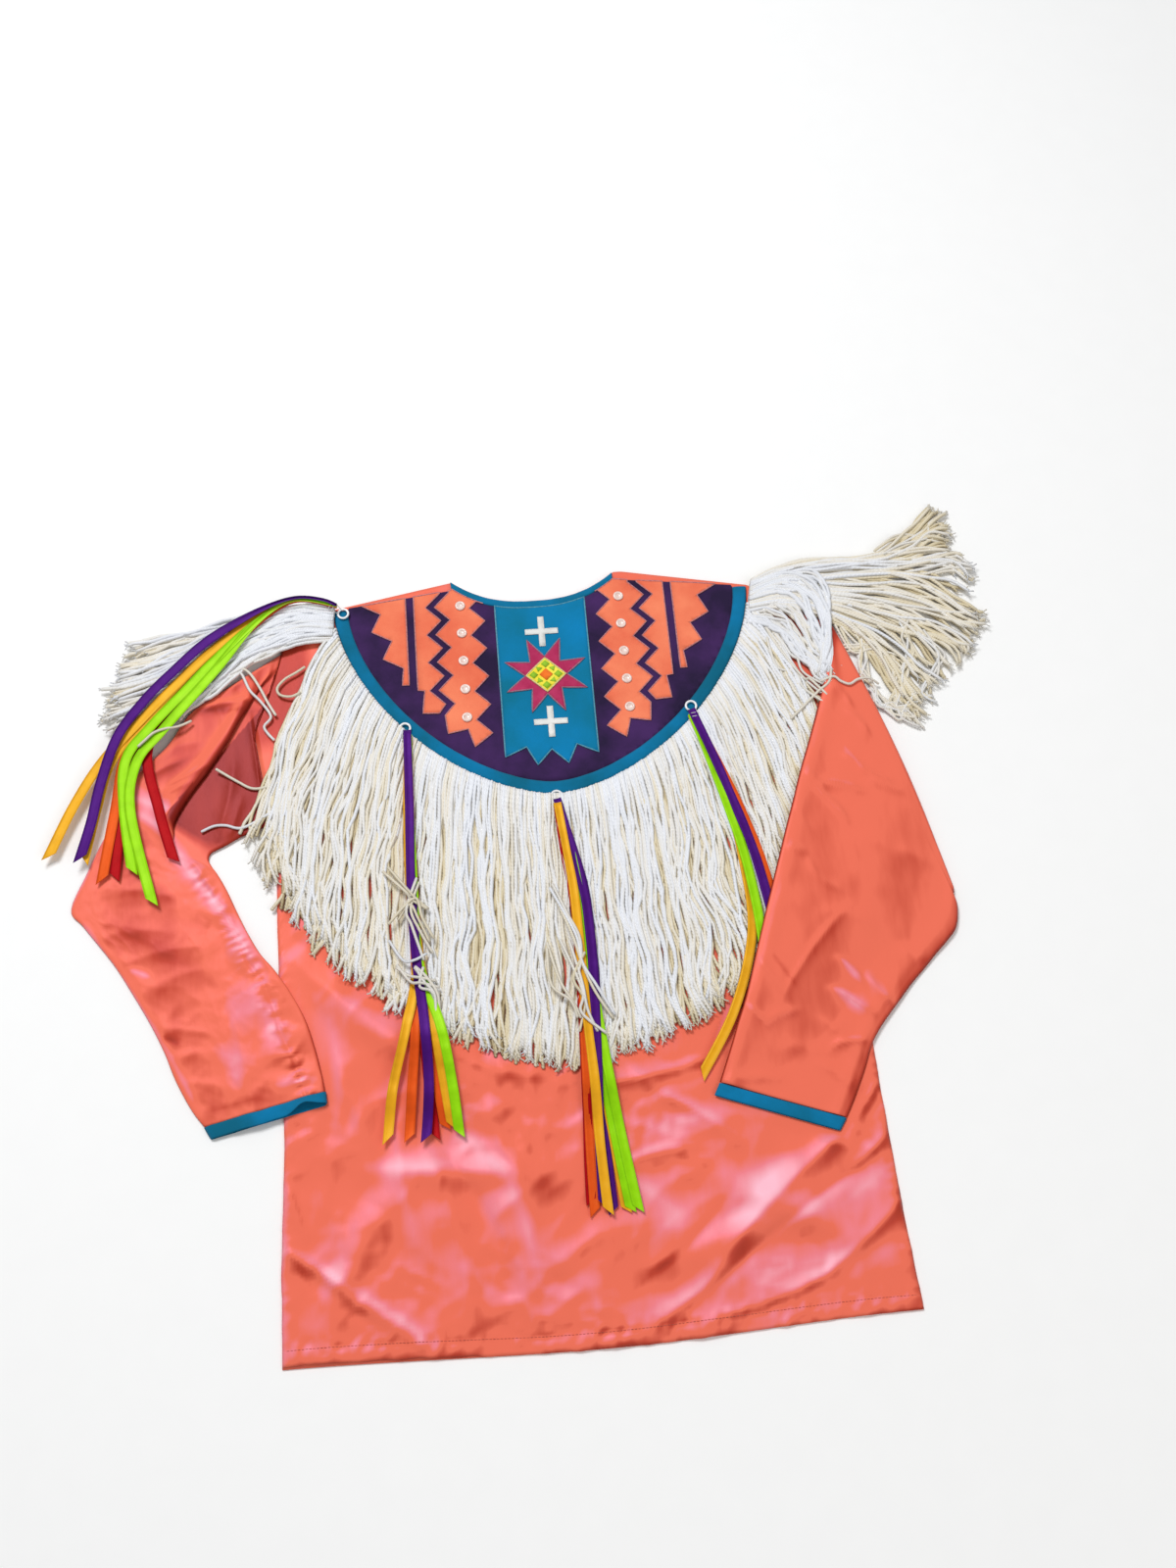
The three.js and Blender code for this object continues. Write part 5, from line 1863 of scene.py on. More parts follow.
    def patch(self, name: str, outline: list[Point], level: int, finish: Finish, node: str | None,
              edge: Finish | None, on: str, width: float = 1.7) -> None:
        """Sew a patch of applique with its satin-stitched edge.

        Args:
            name: the patch's name.
            outline: its corners.
            level: 0 on the yoke, 1 on a patch, and so on.
            finish: its cloth.
            node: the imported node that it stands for, or none.
            edge: its edge's thread, or none.
            on: the piece that it lies on.
            width: of the satin stitch.
        """
        top = self.base_top + self.patch_rise * (level + 1)
        mesh = cut_patch(outline, 5.5)
        for vert in mesh.verts:
            vert.co.z = top + self.pucker(vert.co.x, vert.co.y)
        store_painted_light(mesh, 0.6)
        piece = finish_piece(mesh, name, finish, [node] if node else [], wall=0.7)
        declare_patch(outline, on)
        if edge:
            path = []
            for a, b in zip(outline, [*outline[1:], outline[0]]):
                count = max(1, round(math.dist(a, b) / 6))
                path += stepped(a, b, count)
            run = [Vector((x, y, top - 0.15 + self.pucker(x, y))) for x, y in path]
            finish_piece(wound([Run(run, [width] * len(run), 0.5, True)]), f"{name}_edge", edge)

    def lime_pieces(self) -> None:
        """Sew the small lime squares and corners onto the diamond."""
        middles = ((0, 12.5), (13, 0), (0, -12.5), (-13, 0))
        outlines = [self.diamond(4.6, 4.4, *middle) for middle in middles]
        for dx, dy in ((8, 7.5), (8, -7.5), (-8, -7.5), (-8, 7.5)):
            outlines.append([(self.star_x + dx * a, self.star_y + dy * b)
                             for a, b in ((1.25, 1.25), (0.45, 1.05), (1.05, 0.45))])
        mesh = bmesh.new()
        top = self.base_top + self.patch_rise * 3.7
        for outline in outlines:
            mesh.faces.new([mesh.verts.new((x, y, top + self.pucker(x, y))) for x, y in outline])
        bmesh.ops.recalc_face_normals(mesh, faces=mesh.faces)
        for part in mesh.faces[:]:
            if part.normal.z < 0:
                part.normal_flip()
        store_painted_light(mesh, 0.6)
        piece = finish_piece(mesh, "lime_pieces", Finish.LIME_CLOTH, wall=0.6)
        area = sum(polygon_area(outline) for outline in outlines)

    def base(self) -> None:
        """Build the yoke's dyed field."""
        outline = self.field()
        mesh = cut_patch(outline, 6)
        for vert in mesh.verts:
            vert.co.z = self.base_top + self.pucker(vert.co.x, vert.co.y)
        store_painted_light(mesh, 0.6)
        piece = finish_piece(mesh, "yoke_cotton", Finish.NAVY, ["yoke_base"], wall=1.0)
        declare_patch(outline, "front_satin")

    def bindings(self) -> None:
        """Build the teal bindings of the round edge and of the neck."""

        def arc_place(u: float, v: float) -> Vector:
            """Return a place on the round binding.

            Args:
                u: fraction across.
                v: fraction along.

            Returns:
                The place.
            """
            x, y = Lay.arc(v, lerp(0.3, -self.band - 0.8, u))
            crown = 1.5 * crowned(u) + 0.22 * ripple(x, y, 9, 41)
            rise = self.pucker(x, y) * smoothstep(u, 0.2, 0.9)
            return Vector((x, y, 4.5 + crown + rise))

        def neck_place(u: float, v: float) -> Vector:
            """Return a place on the neck binding.

            Args:
                u: fraction across.
                v: fraction along.

            Returns:
                The place.
            """
            x = Lay.NECK_X + Lay.NECK_HALF * (2 * v - 1) * 0.985
            y = Lay.neckline(x) - lerp(0.1, self.neck_band + 0.8, u)
            crown = 1.5 * crowned(u) + 0.3 * ripple(x, y, 8, 42)
            return Vector((x, y, 4.4 + crown + self.pucker(x, y) * smoothstep(u, 0.1, 0.9)))

        for name, node, place, rows, flat in (
            ("yoke_bias_binding", "yoke_binding", arc_place, 190, (0.0155, 0.742)),
            ("neck_bias_binding", "neck_binding", neck_place, 90, (0.0102, 0.196)),
        ):
            mesh = cloth_grid(10, rows, place)
            face_up(mesh)
            store_painted_light(mesh, 0.6)
            piece = finish_piece(mesh, name, Finish.BINDING, [node], wall=1.0)

    def buttons(self) -> None:
        """Spin the ten pearl buttons with their sunk middles."""
        profile = read_places("""
            0 0.9, 2.1 0.95, 2.7 1.25, 3.3 1.9, 4.1 2.1, 5 1.8, 5.5 1.1, 5.4 0.3, 4.6 0, 0 0
        """)
        for column, side in enumerate((-1, 1)):
            for i in range(5):
                x, y = self.motif_x + side * 85.5, 354 - 33 * i
                mesh = bmesh.new()
                verts = [mesh.verts.new((r, 0, z)) for r, z in profile]
                edges = [mesh.edges.new(pair) for pair in zip(verts, verts[1:])]
                spun(mesh, verts + edges, 20)
                bmesh.ops.remove_doubles(mesh, verts=mesh.verts, dist=0.01)
                bmesh.ops.recalc_face_normals(mesh, faces=mesh.faces)
                base = self.base_top + self.patch_rise + self.pucker(x, y)
                bmesh.ops.translate(mesh, verts=mesh.verts, vec=(x, y, base))
                number = column * 5 + i + 1
                finish_piece(mesh, f"pearl_{number:02d}", Finish.PEARL, [f"button_{number:02d}"])

    def build(self) -> None:
        """Build the whole yoke."""
        self.base()
        self.bindings()
        self.patch("centre_cotton", self.trim(self.centre()), 0, Finish.TEAL, "centre_patch",
                   Finish.TEAL_STITCH, "yoke_cotton")
        for name, outline in self.columns().items():
            mirrored = [(2 * self.motif_x - x, y) for x, y in outline]
            for side, corners in (("left", outline), ("right", mirrored)):
                self.patch(f"{name}_{side}_cotton", self.trim(corners), 0, Finish.CORAL,
                           f"patch_{name}_{side}", Finish.CORAL_STITCH, "yoke_cotton")
        self.patch("star_cotton", self.star(), 1, Finish.BERRY, "star", Finish.STAR_STITCH,
                   "centre_cotton")
        self.patch("diamond_cotton", self.diamond(21, 20), 2, Finish.YELLOW, "star_diamond",
                   Finish.CREAM_STITCH, "star_cotton", 2.0)
        self.lime_pieces()
        self.patch("centre_diamond", self.diamond(7, 7), 3, Finish.ORANGE, "star_centre", None,
                   "diamond_cotton")
        for name, x, y in (("upper", -3, 317), ("lower", -1, 211)):
            self.patch(f"{name}_cross_felt", self.cross(x, y), 1, Finish.WHITE, f"cross_{name}",
                       Finish.WHITE_STITCH, "centre_cotton", 0.9)
        self.buttons()


# ------------------------------------------------------------------ yarn fringe

def frayed(runs: Sequence[Run], rng: random.Random) -> list[Run]:
    """Return short loose fibres at the end of each yarn.

    Args:
        runs: the yarns.
        rng: random numbers.

    Returns:
        Two runs a yarn.
    """
    out = []
    for run in runs:
        end, before = run.path[-1], run.path[-3]
        way = (end - before).normalized()
        across = Vector((-way.y, way.x, 0))
        for side in (-1, 1):
            spread = across * side * rng.uniform(0.2, 0.7) + Vector((0, 0, rng.uniform(-0.1, 0.2)))
            long = rng.uniform(3.5, 6.5)
            start = end - way * 2.4 + across * side * 0.4
            path = [start, start + (way + spread * 0.4) * long * 0.5, start + (way + spread) * long]
            for place in path:
                place.z = max(place.z, 1.0)
            out.append(strand(path, rng.uniform(1.2, 1.7), run.tone + 0.12))
    return out


@dataclass
class FrontFringe:
    """Yarn hung all along the yoke's round edge, in three overlapping layers."""

    counts: tuple[int, int, int] = (328, 220, 210)
    places: int = 18
    width: float = 3.8
    length: float = 268.0
    first: float = 0.042
    last: float = 0.958
    clump: float = 26.0
    seed: int = 11

    def lean(self, x: float) -> float:
        """Return the angle of hanging yarn from straight down, more towards the shoulders."""
        return math.radians(16) * math.copysign(abs(x / Lay.YOKE_HALF) ** 1.5, x)

    def turns(self, count: int) -> list[tuple[float, float]]:
        """Space yarn evenly round the yoke.

        Args:
            count: how many yarns.

        Returns:
            The turn round the yoke and the distance along for each.
        """
        rows = [(0.0, self.first)]
        for k in range(1, 401):
            turn = lerp(self.first, self.last, k / 400)
            x, y = Lay.arc(turn, 2.5)
            x0, y0 = Lay.arc(rows[-1][1], 2.5)
            lean = self.lean(x)
            apart = abs((x - x0) * math.cos(lean) + (y - y0) * math.sin(lean))
            rows.append((rows[-1][0] + apart + 0.25 * math.dist((x, y), (x0, y0)), turn))
        stations = [rows[-1][0] * (k + 0.5) / count for k in range(count)]
        return [(look_up(rows, s, 1), s) for s in stations]

    def covered(self, x: float, y: float) -> float:
        """Return how much thinner the pile is where the folded sleeve presses on it."""
        return lerp(1.0, 0.62, smoothstep(Lay.past_overarm(x, y), -14, 6))

    def yarn(self, turn: float, station: float, layer: int, rng: random.Random) -> Run:
        """Lay one yarn.

        Args:
            turn: where round the yoke it hangs from.
            station: distance along the fringe's head.
            layer: 0 next to the satin, 2 on top.
            rng: the layer's random numbers.

        Returns:
            Its run.
        """
        x0, y0 = Lay.arc(turn, 1.0)
        ahead = Lay.arc(turn + 0.004, 1.0)
        out = Vector((ahead[1] - y0, x0 - ahead[0], 0)).normalized()
        if out.y > 0 or (abs(x0) > 215 and out.x * x0 < 0):
            out = -out
        side = abs(x0) / Lay.YOKE_HALF
        lean = self.lean(x0) + math.radians(rng.gauss(0, 1.5))
        length = self.length + 12 * (1 - side) - rng.uniform(0, 15)
        length = length + (4 if layer == 0 else 0) - 34 * side ** 8
        head = station + 9 * ripple(station, layer * 7, 40, 70)
        centre = (math.floor(head / self.clump) + 0.5) * self.clump
        gather = (centre - head) * rng.uniform(0.1, 0.5) * (0.15 if layer == 0 else 1)
        waves = [(rng.uniform(60, 120), rng.uniform(0.7, 2.1)),
                 (rng.uniform(28, 44), rng.uniform(0.2, 0.7))]
        phases = [rng.uniform(0, 6.28) for _ in waves]
        flick = rng.gauss(0, 1) * (7 + 4 * side) - 5 * side * math.copysign(side, x0)
        rise = 1.9 + 1.6 * layer + rng.uniform(-0.2, 0.35)
        lift = rng.uniform(-1.2, 1.3)
        hop = rng.uniform(0, 6.28)
        strays = rng.random() < 0.04 + 0.025 * layer
        stray = rng.gauss(0, 16) if strays else 0.0
        path = []
        for k in range(self.places):
            t = (k / (self.places - 1)) ** 0.92
            down = length * t
            start = 6 * (1 - math.exp(-down / 12)) + 17 * side * side * (1 - math.exp(-down / 42))
            shared = (5, 10, 12)[layer] * ripple(centre * 1.7, down + centre, 62, 50 + layer)
            shared *= smoothstep(t, 0.08, 0.6)
            sway = 3.2 * math.sin(5 * t + 0.021 * x0) * t + shared
            sway -= gather * smoothstep(t, 0.15, 0.9)
            sway += 3.0 * t * ripple(x0 + 40 * t, down, 30, 58) + stray * t * t
            for (pitch, size), phase in zip(waves, phases):
                sway += size * math.sin(2 * math.pi * down / pitch + phase) * min(1, 7 * t)
            sway += flick * max(0, t - 0.78) ** 2 / 0.06
            x = x0 + out.x * start + down * math.sin(lean) + sway * math.cos(lean)
            y = y0 + out.y * start * 0.3 - down * math.cos(lean) + sway * math.sin(lean)
            tip = smoothstep(t, 0.86, 1)
            z = rise * lerp(1, 0.8, tip) + 0.35 * math.sin(down / 17 + hop)
            z += 1.3 * math.exp(-down / 10)
            z += lift * math.exp(-down / 90)
            z = max(z, self.width * 0.55) * self.covered(x, y)
            path.append(Vector((x, y, Lay.crest_top(x, y) + max(z, self.width * 0.52))))
        # upper layers are painted lighter and the under layer in painted shade; the ripple adds
        # streaks of random tone
        tone = 0.36 + 0.08 * layer + rng.gauss(0, 0.08)
        tone += 0.24 * ripple(centre, layer * 9 + head * 0.2, 19, 60)
        return strand(path, self.width * rng.uniform(0.9, 1.08), tone)

    def build(self) -> None:
        """Build the three layers."""
        for layer, name in enumerate(("under", "middle", "over")):
            rng = random.Random(self.seed + layer)
            turns = self.turns(self.counts[layer])
            runs = [self.yarn(turn, station, layer, rng) for turn, station in turns]
            nodes = ["fringe_front"] if layer == 0 else []
            finish_piece(wound(runs, (3.5, 9.5)), f"front_yarn_{name}", Finish.YARN, nodes)
            if layer:
                finish_piece(wound(frayed(runs, rng)), f"front_yarn_ends_{name}", Finish.YARN)


@dataclass
class Sheaf:
    """Yarn that runs loosely between guide lines, from the yoke's edge to ragged tips."""

    name: str
    node: str
    guides: tuple[tuple[tuple[float, ...], ...], ...]
    count: int
    tone: float
    stack: tuple[float, float]
    wander: float
    ragged: float
    seed: int
    cross: float = 0.5
    clusters: int = 8
    width: float = 4.1
    places: int = 22

    def line(self, across: float, s: float) -> Vector:
        """Return a place between the guides.

        Args:
            across: place across, counted in guides.
            s: fraction along.

        Returns:
            The place.
        """
        i = min(int(across), len(self.guides) - 2)
        ends = [Vector(through(guide, s * (len(guide) - 1))) for guide in self.guides[i:i + 2]]
        return ends[0].lerp(ends[1], across - i)

    def yarn(self, rng: random.Random) -> Run:
        """Lay one yarn of the sheaf.

        Args:
            rng: the sheaf's random numbers.

        Returns:
            Its run.
        """
        last = len(self.guides) - 1
        root = rng.random() * last
        tip = clamp(root + rng.gauss(0, self.cross), 0, last)
        layer = rng.random()
        reach = 1.02 - abs(rng.gauss(0, self.ragged))
        phases = [rng.uniform(0, 6.28) for _ in range(3)]
        sizes = [rng.uniform(1.2, 3.4), rng.uniform(0.4, 1.4)]
        bend = rng.gauss(0, 1) * self.wander
        group = math.floor(tip / last * self.clusters) * 3.7
        path = []
        for k in range(self.places):
            s = reach * k / (self.places - 1)
            across = lerp(root, tip, smoothstep(s, 0.15, 1))
            place = self.line(across, s)
            ahead = self.line(across, s + 0.02) - place
            side = Vector((-ahead.y, ahead.x, 0)).normalized()
            sway = sizes[0] * math.sin(13 * s + phases[0]) + sizes[1] * math.sin(29 * s + phases[1])
            sway += self.wander * ripple(s * 3, group, 1.0, self.seed) * smoothstep(s, 0.2, 0.7)
            sway = sway * min(1, 4 * s) + bend * max(0, s - 0.45) ** 2 * 3
            place += side * sway
            pile = layer * lerp(self.stack[0], self.stack[1], s) + 0.5 * math.sin(9 * s + phases[2])
            place.z = max(place.z + pile, self.width * 0.55)
            path.append(place)
        # yarn higher in the sheaf is painted lighter, a painted light in the pile; groups add random
        # tone
        tone = self.tone + 0.10 * layer + rng.gauss(0, 0.06)
        tone += 0.3 * ripple(group, 3, 3.1, self.seed)
        return strand(path, self.width * rng.uniform(0.9, 1.1), tone)

    def build(self) -> None:
        """Build the sheaf."""
        rng = random.Random(self.seed)
        runs = [self.yarn(rng) for _ in range(self.count)]
        nodes = [self.node] if self.node else []
        finish_piece(wound(runs, (1.0, 13.0)), self.name, Finish.YARN, nodes)
        finish_piece(wound(frayed(runs, rng)), f"{self.name}_ends", Finish.YARN)


def sheaves() -> list[Sheaf]:
    """Lay out the yarn of both shoulders; the left one's lower part bends down beside its sleeve.

    Returns:
        The three sheaves.
    """
    # each sheaf's tone: the wearer's left one is lower, a painted shade, and the right one higher,
    # towards the cool painted light
    right = Sheaf("right_shoulder_yarn", "fringe_shoulder_right", read_lines("""
        -222 361 5.5, -263 364 8, -305 356 8, -358 346 6, -402 333 4, -438 327 2;
        -223 352 5.5, -263 356 8, -305 345 8, -358 331 6, -405 313 4, -448 301 2;
        -224 344 5.5, -264 347 8, -305 333 8, -355 314 6, -405 290 4, -456 277 2;
        -224 336 5.5, -264 338 8, -305 322 8, -350 298 7, -400 270 6, -464 246 3;
        -225 328 5.5, -265 328 8, -305 311 8, -345 284 8, -393 252 7, -436 230 5;
        -225 320 5.5, -266 316 8, -303 301 8, -336 277 8, -366 258 8, -388 245 7
    """), 84, 0.54, (5.6, 5.6), 6.5, 0.07, 5)
    left = Sheaf("left_shoulder_yarn", "fringe_shoulder_left", read_lines("""
        229 361 5.5, 258 374 5, 306 384 4, 362 387 3, 402 401 2, 430 415 2, 454 437 2;
        228 357 5.5, 260 370 5, 308 378 4, 364 381 3, 408 390 2, 438 400 2, 456 399 2;
        227 352 5.5, 262 364 5, 310 368 4, 370 368 3, 420 372 2, 452 370 2, 474 360 2;
        226 347 5.5, 263 358 5, 312 356 4, 370 352 3, 420 342 2, 452 324 2, 472 304 2;
        225 342 5.5, 264 350 5, 316 342 4, 370 332 3, 420 312 2, 450 294 2, 468 280 2;
        224 336 5.5, 266 342 5, 318 328 4, 365 310 3, 405 288 2, 430 268 2, 442 250 2;
        223 330 5.5, 268 334 5, 318 314 4, 352 290 3, 382 264 2, 399 242 2, 410 222 2;
        222 324 5.5, 268 326 5, 316 306 4, 340 280 3, 358 250 2, 372 218 2, 386 184 2
    """), 124, 0.42, (6.4, 5.2), 9, 0.09, 6, 0.7)
    bent = Sheaf("left_bent_yarn", "", read_lines("""
        229 360 6, 258 370 8, 288 369 10, 304 357 11, 311 333 11, 309 311 11, 305 289 11,
        301 267 10, 296 247 9;
        226 348 6, 256 359 8, 279 353 9, 295 334 10, 301 311 10, 300 285 10, 298 261 9, 295 245 9;
        224 339 6, 248 347 7, 271 338 8, 284 317 8, 292 290 8, 297 268 8, 297 246 8;
        222 328 6, 243 333 7, 261 323 7, 272 305 7, 283 280 7, 292 259 7, 296 245 7.5;
        220 319 6, 240 316 6.5, 258 301 6, 269 283 6, 282 262 6, 294 242 7;
        217 309 6, 242 300 6.5, 259 277 6, 276 256 6, 293 236 7
    """), 50, 0.52, (4.2, 3.0), 4.2, 0.05, 8, 0.35)
    return [right, left, bent]


@dataclass
class StrayYarns:
    """Yarns that lie apart from the rest: crossings, hooks and loops."""

    width: float = 3.0
    apart: float = 4.2
    seed: int = 3
    # how many lie alike, then the places of each
    table: str = """
        1: -347 266 8, -345 281 9, -334 290 10, -321 293 11, -312 287 11, -302 270 10, -294 253 8,
        -286 238 8;
        1: -326 290 10, -320 286 11, -312 267 11, -301 254 9, -291 237 8, -298 227 7, -295 219 7,
        -288 210 8;
        1: -255 292 8, -264 286 8, -276 279 8, -284 269 8, -281 261 8, -270 258 9, -260 262 9;
        1: -352 276 9, -344 286 11, -328 297 11, -312 300 10;
        1: -424 208 19, -417 214 20, -408 222 20, -397 226 19, -384 229 16, -372 236 12;
        1: -347 181 9.5, -326 167 6.5, -310 158 6.2, -292 160 6.5, -276 166 7;
        1: -362 115 6, -350 120 6, -338 120 6, -322 116 6, -300 126 6.5, -282 138 7;
        1: 287 235 10, 301 238 13.6, 308 232 13.8, 317 228 13.8, 327 233 13.6, 339 234 12,
        350 230 5;
        1: 250 194 10, 265 207 10, 283 223 11, 296 233 12.4, 300 247 13.4;
        1: 244 296 8, 257 292 8, 266 270 8, 271 248 8, 290 232 9;
        2: 238 300 8, 254 271 8, 265 248 8, 278 232 8, 289 219 9;
        2: 236 286 8, 248 262 8, 258 240 8, 272 226 8, 288 214 9;
        4: 318 308 4, 330 274 3, 349 271 3, 362 267 3, 374 253 3, 372 230 3, 359 209 2, 365 198 2,
        379 187 2;
        4: 322 276 4, 349 273 3, 368 267 3, 372 245 3, 367 224 2, 374 206 2;
        4: 334 296 4, 341 271 4, 341 247 3, 346 225 3, 358 205 2, 373 198 2, 386 200 2;
        4: 388 306 6, 391 287 6, 392 265 5, 382 240 4, 368 219 3, 362 204 2;
        4: 336 262 4, 338 241 3, 345 221 3, 354 201 2, 366 194 2, 379 199 2, 387 216 3;
        4: 344 226 3, 347 210 3, 362 203 3, 376 195 2, 385 183 2;
        4: 400 290 6, 420 262 5, 412 240 3, 396 222 2, 404 206 2;
        3: 372 392 6, 388 402 5, 410 407 4, 430 410 3, 448 400 2;
        2: 382 386 8, 400 396 7, 424 410 5, 443 424 3, 455 438 2;
        2: -176 60 14, -160 37 18.6, -150 24 18.6, -138 13 15;
        2: -168 4 15, -156 18 18.6, -148 2 18.6, -139 -20 15;
        1: -178 -16 14, -165 -38 17, -154 -39 18.6, -142 -32 14;
        2: -146 42 14, -155 14 18.6, -148 -8 18.6, -136 -32 14;
        2: -172 -44 14, -160 -54 18, -148 -57 18, -134 -60 13;
        4: -154 -46 17, -146 -60 17, -138 -74 15, -132 -92 10, -128 -108 6;
        2: -14 20 14, 1 -24 18, 9 -56 18.6, 19 -84 18, 34 -110 12;
        2: -2 -30 16, 7 -74 18.6, 10 -101 18.6, 18 -122 14;
        1: -14 30 14, -2 -2 17, 8 -27 18.6, 8 -50 18.6, 2 -70 16;
        2: -24 -30 14, -14 -70 15, -3 -93 18, 3 -108 16;
        1: 12 -44 18.4, -1 -68 18.6, 5 -84 18.6, 9 -93 18.4, 1 -120 12
    """

    def build(self) -> None:
        """Build the stray yarns as one piece."""
        rng = random.Random(self.seed)
        runs = []
        for line in self.table.split(";"):
            copies, table = line.split(":")
            rows = read_places(table)
            last = len(rows) - 1
            for copy in range(int(copies)):
                turned = rows
                if copy:
                    turned = [(x + rng.gauss(0, self.apart), y + rng.gauss(0, self.apart),
                               z + rng.uniform(0, 2.5)) for x, y, z in rows]
                count = 6 * last
                path = [Vector(through(turned, k * last / count)) for k in range(count + 1)]
                runs.append(strand(path, self.width, 0.55 + rng.gauss(0, 0.13)))
        finish_piece(wound(runs), "stray_yarns", Finish.YARN)


# ------------------------------------------------------------------ rings and ribbons

@dataclass(frozen=True)
class Tail:
    """One ribbon's run: its colour and its places, with the layer that it lies in."""

    color: str
    x: tuple[float, ...]
    y: tuple[float, ...]
    layer: float
    slant: float = 4.0


def hash_of(text: str) -> float:
    """Return a small number that is always the same for a text."""
    return sum((i + 1) * ord(c) for i, c in enumerate(text)) % 97


RIBBON_FINISH = {
    "red": Finish.RED, "orange": Finish.TANGERINE, "gold": Finish.GOLD, "lime": Finish.LIME,
    "purple": Finish.PURPLE,
}


@dataclass
class Bundle:
    """Ribbons that hang together from one small ring."""

    name: str
    ring: Point
    tails: tuple[Tail, ...]
    pile: tuple[tuple[float, float], ...] = ()
    width: float = 9.5
    step: float = 1.3
    radius: float = 5.4
    tube: float = 1.2
    opens: tuple[float, float] = (-0.2, 0.4)
    hidden: str = ""
    gathered: float = 0.8
    steps: int = 66

    def path(self, tail: Tail) -> list[Vector]:
        """Return even places along a ribbon."""
        return [Vector(row) for row in evenly(list(zip(tail.x, tail.y)), self.steps)]

    def under(self, x: float, y: float) -> float:
        """Return the height of what the ribbons lie on.

        Args:
            x: place across.
            y: place along.

        Returns:
            The height.
        """
        if self.pile:
            return look_up(self.pile, math.dist((x, y), self.ring), 1)
        middle = self.tails[0].x[0]
        return max(Lay.fringe_top(middle, y), Lay.fringe_top(x, y)) + 1.1

    def ribbon(self, tail: Tail) -> Mesh:
        """Lay one ribbon.

        Args:
            tail: its run.

        Returns:
            The ribbon, cut on the slant and slightly cupped.
        """
        path, last = self.path(tail), self.steps
        seed = hash_of(self.name + tail.color) + tail.layer * 7

        def place(u: float, v: float) -> Vector:
            """Return a place on the ribbon.

            Args:
                u: fraction across.
                v: fraction along.

            Returns:
                The place.
            """
            along = v * last
            if v > 0.9:
                along = lerp(along, last + tail.slant * (u - 0.5) * 0.3, (v - 0.9) / 0.1)
            i = min(int(along), last - 1)
            a, b = path[i], path[i + 1]
            at = a.lerp(b, along - i)
            side = Vector((-(b - a).y, (b - a).x)).normalized()
            roll = 0.9 * ripple(v * 260, 0, 60, seed)
            open_share = lerp(self.gathered, 1.0, smoothstep(v, *self.opens))
            across = (u - 0.5) * self.width * open_share * math.cos(roll * 0.8)
            flat = at + side * across
            low = self.under(at.x, at.y) + 0.9 + tail.layer * self.step
            tilt = math.sin(roll * 0.9) * (u - 0.5) * 2.6
            cup = (0.5 + 2.2 * (1 - open_share)) * (2 * u - 1) ** 2
            lift = 0.6 * max(0, ripple(v * 300, 9, 50, seed))
            return Vector((flat.x, flat.y, low + 0.35 + abs(tilt) * 0.5 + tilt * 0.5 + cup + lift))

        mesh = cloth_grid(4, 84, place)
        face_up(mesh)
        store_painted_light(mesh, 1.3)
        return mesh

    def hanger(self) -> None:
        """Build the ring and the thread that ties the ribbon heads to it."""
        x, y = self.ring
        z = Lay.PANEL_TOP + Lay.PILE + self.tube
        mesh = bmesh.new()
        circle = bmesh.ops.create_circle(mesh, segments=10, radius=self.tube)["verts"]
        upright = Matrix.Rotation(math.pi / 2, 3, "X")
        bmesh.ops.rotate(mesh, verts=circle, cent=(0, 0, 0), matrix=upright)
        bmesh.ops.translate(mesh, verts=circle, vec=(self.radius, 0, 0))
        spun(mesh, mesh.verts[:] + mesh.edges[:], 36)
        bmesh.ops.recalc_face_normals(mesh, faces=mesh.faces)
        bmesh.ops.translate(mesh, verts=mesh.verts, vec=(x, y, z))
        finish_piece(mesh, f"{self.name}_sewing_ring", Finish.RING, [f"ring_{self.name}"])
        head = self.path(self.tails[-1])[2]
        way = (head - Vector((x, y))).normalized()
        across = Vector((-way.y, way.x))
        top = z + (7.6 if self.pile else 5.4)
        runs = []
        for away in (10.5, 14.5):
            centre = Vector((x, y)) + way * away
            path = []
            for k in range(9):
                s = k / 4 - 1
                flat = centre + across * (s * 5.4)
                path.append(Vector((flat.x, flat.y, top - 3.4 * s ** 4)))
            runs.append(strand(path, 0.9))
        for side in (-1, 1):
            start = Vector((x, y)) + across * side * 3.0 + way * 4.2
            end = Vector((x, y)) + across * side * 4.6 + way * 11
            middle = start.lerp(end, 0.5)
            knots = ((*start, z + 1.2), (*middle, z + 2.6), (*end, top - 1.2))
            runs.append(strand([Vector(knot) for knot in knots], 0.9))
        finish_piece(wound(runs), f"{self.name}_tie_thread", Finish.WHITE_STITCH)

    def build(self) -> None:
        colors = dict.fromkeys(tail.color for tail in self.tails)
        for color in colors:
            tails = [tail for tail in self.tails if tail.color == color]
            mesh = bmesh.new()
            length = 0.0
            for tail in tails:
                part = self.ribbon(tail)
                data = bpy.data.meshes.new("part")
                part.to_mesh(data)
                part.free()
                mesh.from_mesh(data)
                bpy.data.meshes.remove(data)
                rows = evenly(list(zip(tail.x, tail.y)), 40)
                length += sum(math.dist(a, b) for a, b in zip(rows, rows[1:]))
            nodes = [] if color == self.hidden else [f"ribbon_{self.name}_{color}"]
            piece = finish_piece(mesh, f"{self.name}_{color}_satin", RIBBON_FINISH[color], nodes,
                                 wall=0.45)
        self.hanger()


